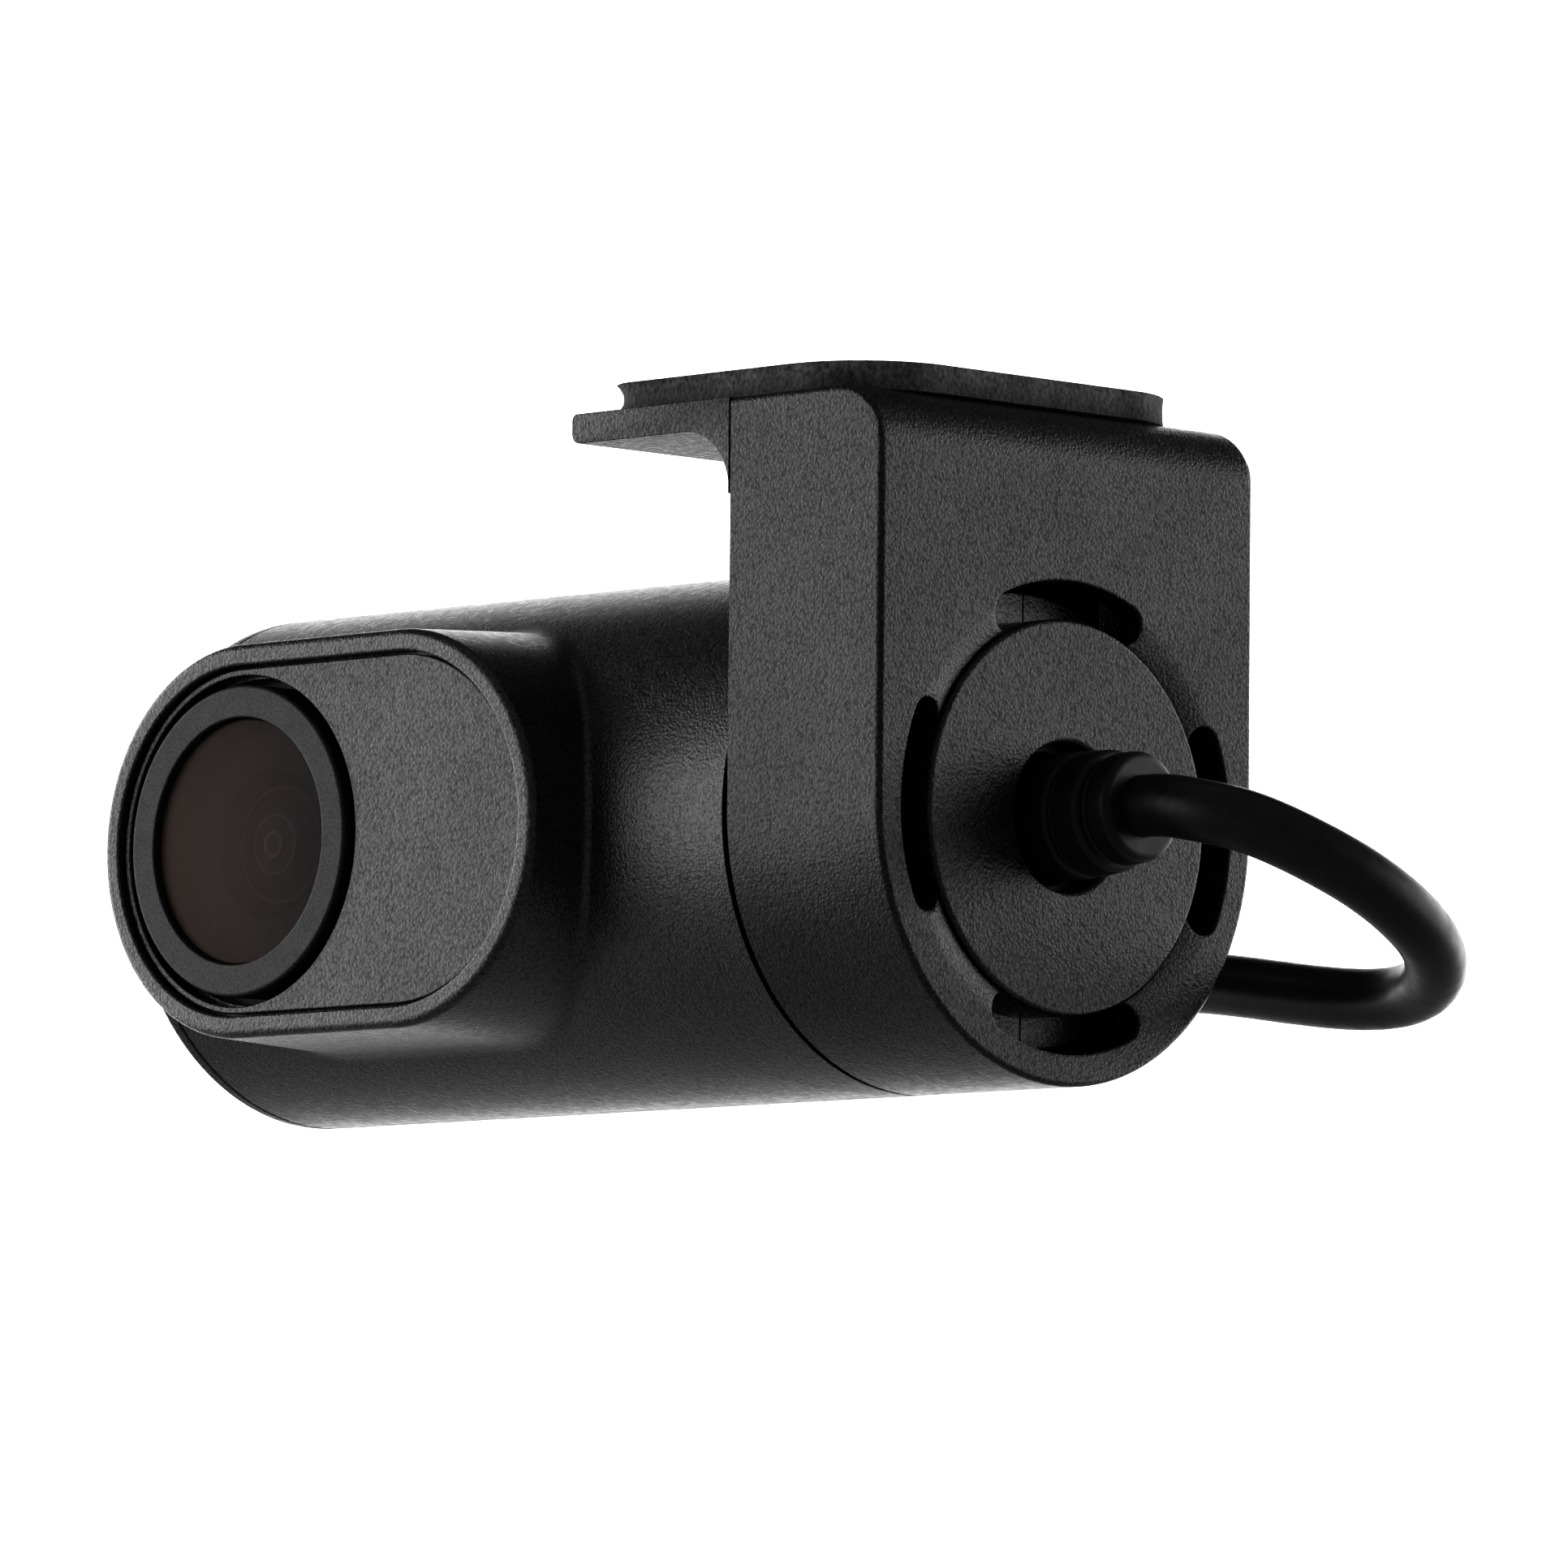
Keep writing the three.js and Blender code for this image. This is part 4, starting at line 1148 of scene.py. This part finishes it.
def lens_painted_rings():
    """A lens with painted rings of light and shade about its axis: bright rims and dark bands that stand for
    the lit edges of the elements behind it.
    """
    finish = Finish("lens_painted_rings")
    middle = (LENS_X * MM, 0, AXIS_Z * MM)
    away = finish.add("ShaderNodeVectorMath", {0: finish.place, 1: middle}, operation="SUBTRACT").outputs[0]
    across = finish.add("ShaderNodeVectorMath", {0: away, 1: (1, 0, 1)}, operation="MULTIPLY").outputs[0]
    radius = finish.add("ShaderNodeVectorMath", {0: across}, operation="LENGTH").outputs["Value"]
    share = finish.spread(radius, 0, 1, (0, LENS_RADIUS * MM))
    # Painted rings of light and shade, by distance from the lens's axis.
    rings = finish.add("ShaderNodeValToRGB", {"Fac": share})
    stops = rings.color_ramp.elements
    for place, _ in LENS_PAINTED_RINGS[1:-1]:
        stops.new(place)
    for stop, (place, colour) in zip(stops, LENS_PAINTED_RINGS):
        stop.position, stop.color = place, (*colour, 1)
    clouded = finish.spread(finish.noise(1.0), 0.9, 1.1)
    finish.feed("Base Color", finish.shades(rings.outputs["Color"], clouded))
    finish.set(Roughness=0.3, Specular_IOR_Level=0.5)
    return finish.material


def metal_finish(name, colour, roughness, metallic):
    """Machined or plated metal with fine marks and uneven gloss. Returns the finish and its colour."""
    finish = Finish(name)
    shade = finish.shades(colour, finish.spread(finish.noise(0.6, 3.0), 0.85, 1.12))
    finish.feed("Base Color", shade)
    finish.feed("Roughness", finish.spread(finish.noise(0.25, 2.0), roughness - 0.07, roughness + 0.09))
    finish.set(Metallic=metallic)
    finish.bump(finish.noise(0.08, 2.0), 0.003)
    return finish, shade


def turned_metal(name, colour, roughness, metallic=1.0):
    return metal_finish(name, colour, roughness, metallic)[0].material


def contact_metal():
    """Gold-plated contacts, with dark insulating rings where the pin is a little thinner."""
    finish, gold = metal_finish("contact_metal", (0.75, 0.52, 0.22), 0.2, 1.0)
    along = finish.add("ShaderNodeSeparateXYZ", {"Vector": finish.place}).outputs["X"]
    rings = 0.0
    for share in PIN_RINGS:
        middle = (pin_low[0] + (pin_high[0] - pin_low[0]) * share + PIN_RING_WIDTH / 2) * MM
        reach = 0.22 * MM
        ring = finish.add("ShaderNodeMath", {0: along, 1: middle, 2: reach}, operation="COMPARE").outputs[0]
        rings = finish.sum(rings, ring, "MAXIMUM")
    finish.feed("Base Color", finish.between(rings, gold, (0.012, 0.012, 0.012)))
    finish.feed("Metallic", finish.sum(1.0, rings, "SUBTRACT"))
    return finish.material


def circuit_board():
    """Solder resist over copper: faint tracks as thin bands of a stretched wave, and small tinned pads."""
    finish = Finish("circuit_board")
    wave = {"Vector": finish.place, "Scale": 420.0, "Distortion": 3.0, "Detail": 1.0}
    tracks = finish.add("ShaderNodeTexWave", wave, bands_direction="Z")
    line = finish.spread(tracks.outputs["Fac"], 0.0, 1.0, (0.75, 0.85))
    green = finish.between(line, (0.006, 0.045, 0.018), (0.012, 0.085, 0.03))
    pads = finish.spread(finish.cells(1.6), 1.0, 0.0, (0.12, 0.15))
    finish.feed("Base Color", finish.between(pads, green, (0.5, 0.49, 0.46)))
    finish.feed("Metallic", pads)
    finish.feed("Roughness", finish.spread(finish.noise(0.8), 0.32, 0.45))
    finish.bump(line, 0.02)
    return finish.material


def chip_epoxy():
    """Moulded epoxy with a fine grit."""
    finish = Finish("chip_epoxy")
    grit = finish.noise(0.1, 3.0)
    finish.feed("Base Color", finish.shades((0.014, 0.014, 0.015), finish.spread(grit, 0.7, 1.4)))
    finish.feed("Roughness", finish.spread(grit, 0.5, 0.65))
    finish.bump(grit, 0.006)
    return finish.material


def nylon(name, colour):
    """Smooth natural connector plastic with slight clouding."""
    finish = Finish(name)
    finish.feed("Base Color", finish.shades(colour, finish.spread(finish.noise(1.8, 2.0), 0.85, 1.1)))
    finish.feed("Roughness", finish.spread(finish.noise(0.5), 0.4, 0.52))
    finish.bump(finish.noise(0.2), 0.004)
    return finish.material


# ---- Camera and stage ----

CAMERA_AIM = (0.0021346, -0.0112819, -0.0230994)
CAMERA_AZIMUTH, CAMERA_ELEVATION, CAMERA_ROLL = 44.991, -5.227, 0.520
CAMERA_DISTANCE = 0.690348
CAMERA_LENS = 285.23
FLOOR_DROP = 0.16
FLOOR_GLOW = 0.35
WORLD_STRENGTH = 3.2
WORLD_AMBIENT = 0.1
WORLD_TURN = 8
WORLD_BY_HEIGHT = [
    (-1, 0.02),
    (-0.6, 0.03),
    (-0.4, 0.1),
    (-0.2, 0.4),
    (-0.05, 0.95),
    (0.31, 1.0),
    (0.42, 0.2),
    (0.5, 0.0),
    (1, 0.0),
]
WORLD_BY_SIDE = [
    (-1, 1.0),
    (-0.6, 1.0),
    (-0.25, 0.55),
    (0.0, 0.45),
    (0.15, 0.4),
    (0.4, 0.1),
    (0.6, 0.01),
    (1, 0.0),
]


def add_camera():
    """A long lens below the camera's level, turned to the arm's side. Azimuth 0 looks along +Y."""
    a, e, roll = (math.radians(x) for x in (CAMERA_AZIMUTH, CAMERA_ELEVATION, CAMERA_ROLL))
    back = Vector((math.sin(a) * math.cos(e), -math.cos(a) * math.cos(e), math.sin(e)))
    right = (-back).cross(Vector((0, 0, 1))).normalized()
    up = back.cross(right)
    across = right * math.cos(roll) + up * math.sin(roll)
    upright = up * math.cos(roll) - right * math.sin(roll)
    data = bpy.data.cameras.new("view")
    data.lens, data.sensor_width = CAMERA_LENS, 36
    data.clip_start, data.clip_end = 0.05, 20
    camera = bpy.data.objects.new("view", data)
    bpy.context.scene.collection.objects.link(camera)
    turn = Matrix((across, upright, back)).transposed().to_4x4()
    camera.matrix_world = Matrix.Translation(Vector(CAMERA_AIM) + back * CAMERA_DISTANCE) @ turn
    bpy.context.scene.camera = camera


def add_floor():
    """A flat pale floor, bright enough to stay pale under the dark top of the studio."""
    along = np.linspace(-3, 3, 25)
    points = np.zeros((len(along), len(along), 3))
    points[..., 0], points[..., 1], points[..., 2] = along, along[:, None], -FLOOR_DROP
    flat_points, faces = grid(points, wrap_columns=False)
    mesh = bpy.data.meshes.new("floor")
    mesh.from_pydata(flat_points.tolist(), [], faces[0].tolist())
    floor = bpy.data.objects.new("floor", mesh)
    bpy.context.scene.collection.objects.link(floor)
    finish = Finish("pale_floor")
    finish.feed("Base Color", finish.shades((0.8, 0.8, 0.8), finish.spread(finish.noise(40.0), 0.97, 1.0)))
    finish.set(Roughness=0.8, Specular_IOR_Level=0.2)
    finish.set(Emission_Color=(1, 1, 1, 1), Emission_Strength=FLOOR_GLOW)
    mesh.materials.append(finish.material)
    floor.visible_glossy = floor.visible_diffuse = False


def add_world():
    """A studio that is white in a band round the horizon and dark overhead, underneath and on the camera's
    side. Its brightness is one ramp over the direction's height times another over its angle from the
    camera."""
    world = bpy.data.worlds.new("studio")
    world.use_nodes = True
    nodes, links = world.node_tree.nodes, world.node_tree.links
    background = next(node for node in nodes if node.type == "BACKGROUND")
    direction = nodes.new("ShaderNodeTexCoord").outputs["Generated"]

    def ramp(axis, stops):
        along = nodes.new("ShaderNodeVectorMath")
        along.operation = "DOT_PRODUCT"
        along.inputs[1].default_value = axis
        links.new(direction, along.inputs[0])
        curve = nodes.new("ShaderNodeFloatCurve")
        points = curve.mapping.curves[0].points
        for place, value in stops[1:-1]:
            points.new((place + 1) / 2, value)
        points[0].location, points[-1].location = (0, stops[0][1]), (1, stops[-1][1])
        scaled = nodes.new("ShaderNodeMapRange")
        scaled.inputs["From Min"].default_value = -1
        links.new(along.outputs["Value"], scaled.inputs["Value"])
        links.new(scaled.outputs[0], curve.inputs["Value"])
        return curve.outputs[0]

    azimuth = math.radians(CAMERA_AZIMUTH + WORLD_TURN)
    product = nodes.new("ShaderNodeMath")
    product.operation = "MULTIPLY"
    links.new(ramp((0, 0, 1), WORLD_BY_HEIGHT), product.inputs[0])
    side = (math.sin(azimuth), -math.cos(azimuth), 0)
    links.new(ramp(side, WORLD_BY_SIDE), product.inputs[1])
    scaled = nodes.new("ShaderNodeMath")
    scaled.operation = "MULTIPLY_ADD"
    scaled.inputs[1].default_value, scaled.inputs[2].default_value = WORLD_STRENGTH, WORLD_AMBIENT
    links.new(product.outputs[0], scaled.inputs[0])
    seen = nodes.new("ShaderNodeMath")
    seen.operation = "MAXIMUM"
    links.new(scaled.outputs[0], seen.inputs[0])
    links.new(nodes.new("ShaderNodeLightPath").outputs["Is Camera Ray"], seen.inputs[1])
    links.new(seen.outputs[0], background.inputs["Strength"])
    background.inputs["Color"].default_value = (1, 1, 1, 1)
    bpy.context.scene.world = world


# ---- Operators ----


def sizes():
    return bpy.context.scene.window_camera_sizes


def colours():
    return bpy.context.scene.window_camera_colours


def grained(name, roughness, gloss):
    """The housing's grained plastic, made once under each name."""
    found = bpy.data.materials.get(name)
    return found or pebbled_plastic(name, colours().housing, sizes().pebble / MM, roughness, gloss)


def barrel_plastic():
    return grained("barrel_plastic", 0.3, 0.7)


def arm_plastic():
    return grained("arm_plastic", 0.3, 0.37)


def faceplate_plastic():
    return grained("faceplate_plastic", 0.32, 0.54)


def rubber():
    return bpy.data.materials.get("dark_rubber") or soft_rubber("dark_rubber", colours().rubber, 0.5)


class StageOperator(Operator):
    """Add the camera, the pale floor and the soft light"""

    bl_idname = "window_camera.stage"
    bl_label = "Stage"

    def execute(self, context):
        add_camera()
        add_floor()
        add_world()
        context.scene.view_settings.view_transform = "Standard"
        return {"FINISHED"}


class LeadOperator(Operator):
    """Lay the lead from the strain relief to its hank, with its tie and its plug"""

    bl_idname = "window_camera.lead"
    bl_label = "Lead"

    def execute(self, context):
        jacket = soft_rubber("jacket_vinyl", colours().jacket, 0.36, 0.6)
        line = lead_line()
        lead = piece(
            "lead",
            [tube(line, LEAD_DIAMETER / 2)],
            jacket,
            "bracket",
            ("lead_cable", "lead_hank", "lead_tail"),
        )
        tie = piece("hank_tie_strap", hank_tie(), rubber(), "bracket", ("hank_tie",))
        grip = piece("plug_grip_ribbed", [plug_grip()], rubber(), "bracket", ("plug_grip",))
        gold = contact_metal()
        pin = piece("plug_pin_contacts", [plug_pin()], gold, "bracket", ("plug_pin",))
        return {"FINISHED"}


class BracketOperator(Operator):
    """Make the foam pad, the bracket's plate and the arm's cover"""

    bl_idname = "window_camera.bracket"
    bl_label = "Bracket"

    def execute(self, context):
        shape, foam = foam_pad(sizes().pad_hollow / MM), cut_foam(colours().pad)
        pad = piece("foam_pad_cut", shape, foam, "bracket", ("foam_pad",))
        plastic = arm_plastic()
        piece("bracket_plate", mount_bracket(), plastic, "bracket", ("mount_bracket",))
        cover = arm_cover(sizes().arm_edge / MM)
        piece("arm_shell", cover, plastic, "bracket", ("arm_cover",), 20)
        return {"FINISHED"}


class BarrelOperator(Operator):
    """Make the barrel's shells, its end cap, the faceplate and the end disc"""

    bl_idname = "window_camera.barrel"
    bl_label = "Barrel"

    def execute(self, context):
        gap = sizes().parting_line / MM
        plastic = barrel_plastic()
        front = [front_shell(gap), moved(hub(90, 270), (0, -gap / 2, 0))]
        piece("barrel_front", front, plastic, "camera", ("front_shell",))
        piece("barrel_rear", rear_shell(gap), plastic, "camera", ("rear_shell",))
        piece("barrel_cap", [end_cap()], plastic, "camera", ("end_cap",))
        piece("nose_faceplate", nose_plate(), faceplate_plastic(), "camera", ("nose_plate",))
        piece("arm_disc", [end_disc()], arm_plastic(), "camera", ("end_disc",))
        relief = soft_rubber("relief_rubber", colours().rubber, 0.42)
        piece("relief_ribs", [strain_relief()], relief, "camera", ("strain_relief",), 50)
        return {"FINISHED"}


class LensOperator(Operator):
    """Make the trim ring, the window and the front lens"""

    bl_idname = "window_camera.lens"
    bl_label = "Lens"

    def execute(self, context):
        trim = satin_plastic("trim_plastic", colours().trim)
        piece("trim_ring", [lens_trim_ring()], trim, "camera", ("lens_trim_ring",))
        tint = tinted_window(colours().window_painted_lit, colours().window_painted_shaded)
        piece("window", [cover_glass()], tint, "camera", ("cover_glass",))
        front = lens_painted_rings()
        piece("front_lens", [lens_front_element()], front, "camera", ("lens_front_element",))
        return {"FINISHED"}


class InsideOperator(Operator):
    """Give every part inside the housing its own finish"""

    bl_idname = "window_camera.inside"
    bl_label = "Inside"

    def execute(self, context):
        steel = turned_metal("plated_steel", (0.42, 0.43, 0.45), 0.3)
        tin = turned_metal("tinned_steel", (0.55, 0.55, 0.56), 0.28)
        black_metal = turned_metal("black_anodising", (0.012, 0.012, 0.012), 0.38, 0.6)
        board, epoxy = circuit_board(), chip_epoxy()
        holder = satin_plastic("holder_plastic", (0.012, 0.012, 0.012), 0.55)
        socket = nylon("socket_nylon", (0.55, 0.52, 0.46))
        coated = turned_metal("coated_filter", (0.10, 0.2, 0.24), 0.08, 0.3)
        jacket = bpy.data.materials["jacket_vinyl"]
        finishes = {
            steel: "bracket_screw_front bracket_screw_rear holder_screw_upper holder_screw_lower "
            "board_screw_left board_screw_right",
            tin: "shield_can clock_crystal bulk_capacitor",
            black_metal: "lens_barrel lens_stop_ring",
            board: "sensor_board main_board",
            epoxy: "image_sensor processor_chip memory_chip power_inductor board_link",
            holder: "lens_holder",
            socket: "lead_socket lead_housing",
            coated: "infrared_filter lens_rear_element",
            rubber(): "friction_ring glass_gasket",
            jacket: "inner_lead",
        }
        for material, names in finishes.items():
            for name in names.split():
                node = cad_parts[name]
                node.data.materials.clear()
                node.data.materials.append(material)
        return {"FINISHED"}


class WindowCameraPanel(Panel):
    bl_idname = "VIEW3D_PT_window_camera"
    bl_label = "Window Camera"
    bl_space_type = "VIEW_3D"
    bl_region_type = "UI"
    bl_category = "Window Camera"

    def draw(self, context):
        for operator in OPERATORS:
            self.layout.operator(operator.bl_idname)
        for group in (context.scene.window_camera_sizes, context.scene.window_camera_colours):
            for name in group.bl_rna.properties.keys():
                if name not in ("rna_type", "name"):
                    self.layout.prop(group, name)


OPERATORS = (StageOperator, LeadOperator, BracketOperator, BarrelOperator, LensOperator, InsideOperator)
GROUPS = {"window_camera_sizes": WindowCameraSizes, "window_camera_colours": WindowCameraColours}
CLASSES = (*GROUPS.values(), *OPERATORS, WindowCameraPanel)


def register():
    for made in CLASSES:
        bpy.utils.register_class(made)
    for name, group in GROUPS.items():
        setattr(bpy.types.Scene, name, PointerProperty(type=group))


def unregister():
    for name in GROUPS:
        delattr(bpy.types.Scene, name)
    for made in reversed(CLASSES):
        bpy.utils.unregister_class(made)


def main():
    register()
    bpy.ops.window_camera.stage()
    bpy.ops.window_camera.lead()
    bpy.ops.window_camera.bracket()
    bpy.ops.window_camera.barrel()
    bpy.ops.window_camera.lens()
    bpy.ops.window_camera.inside()


if __name__ == "__main__":
    main()
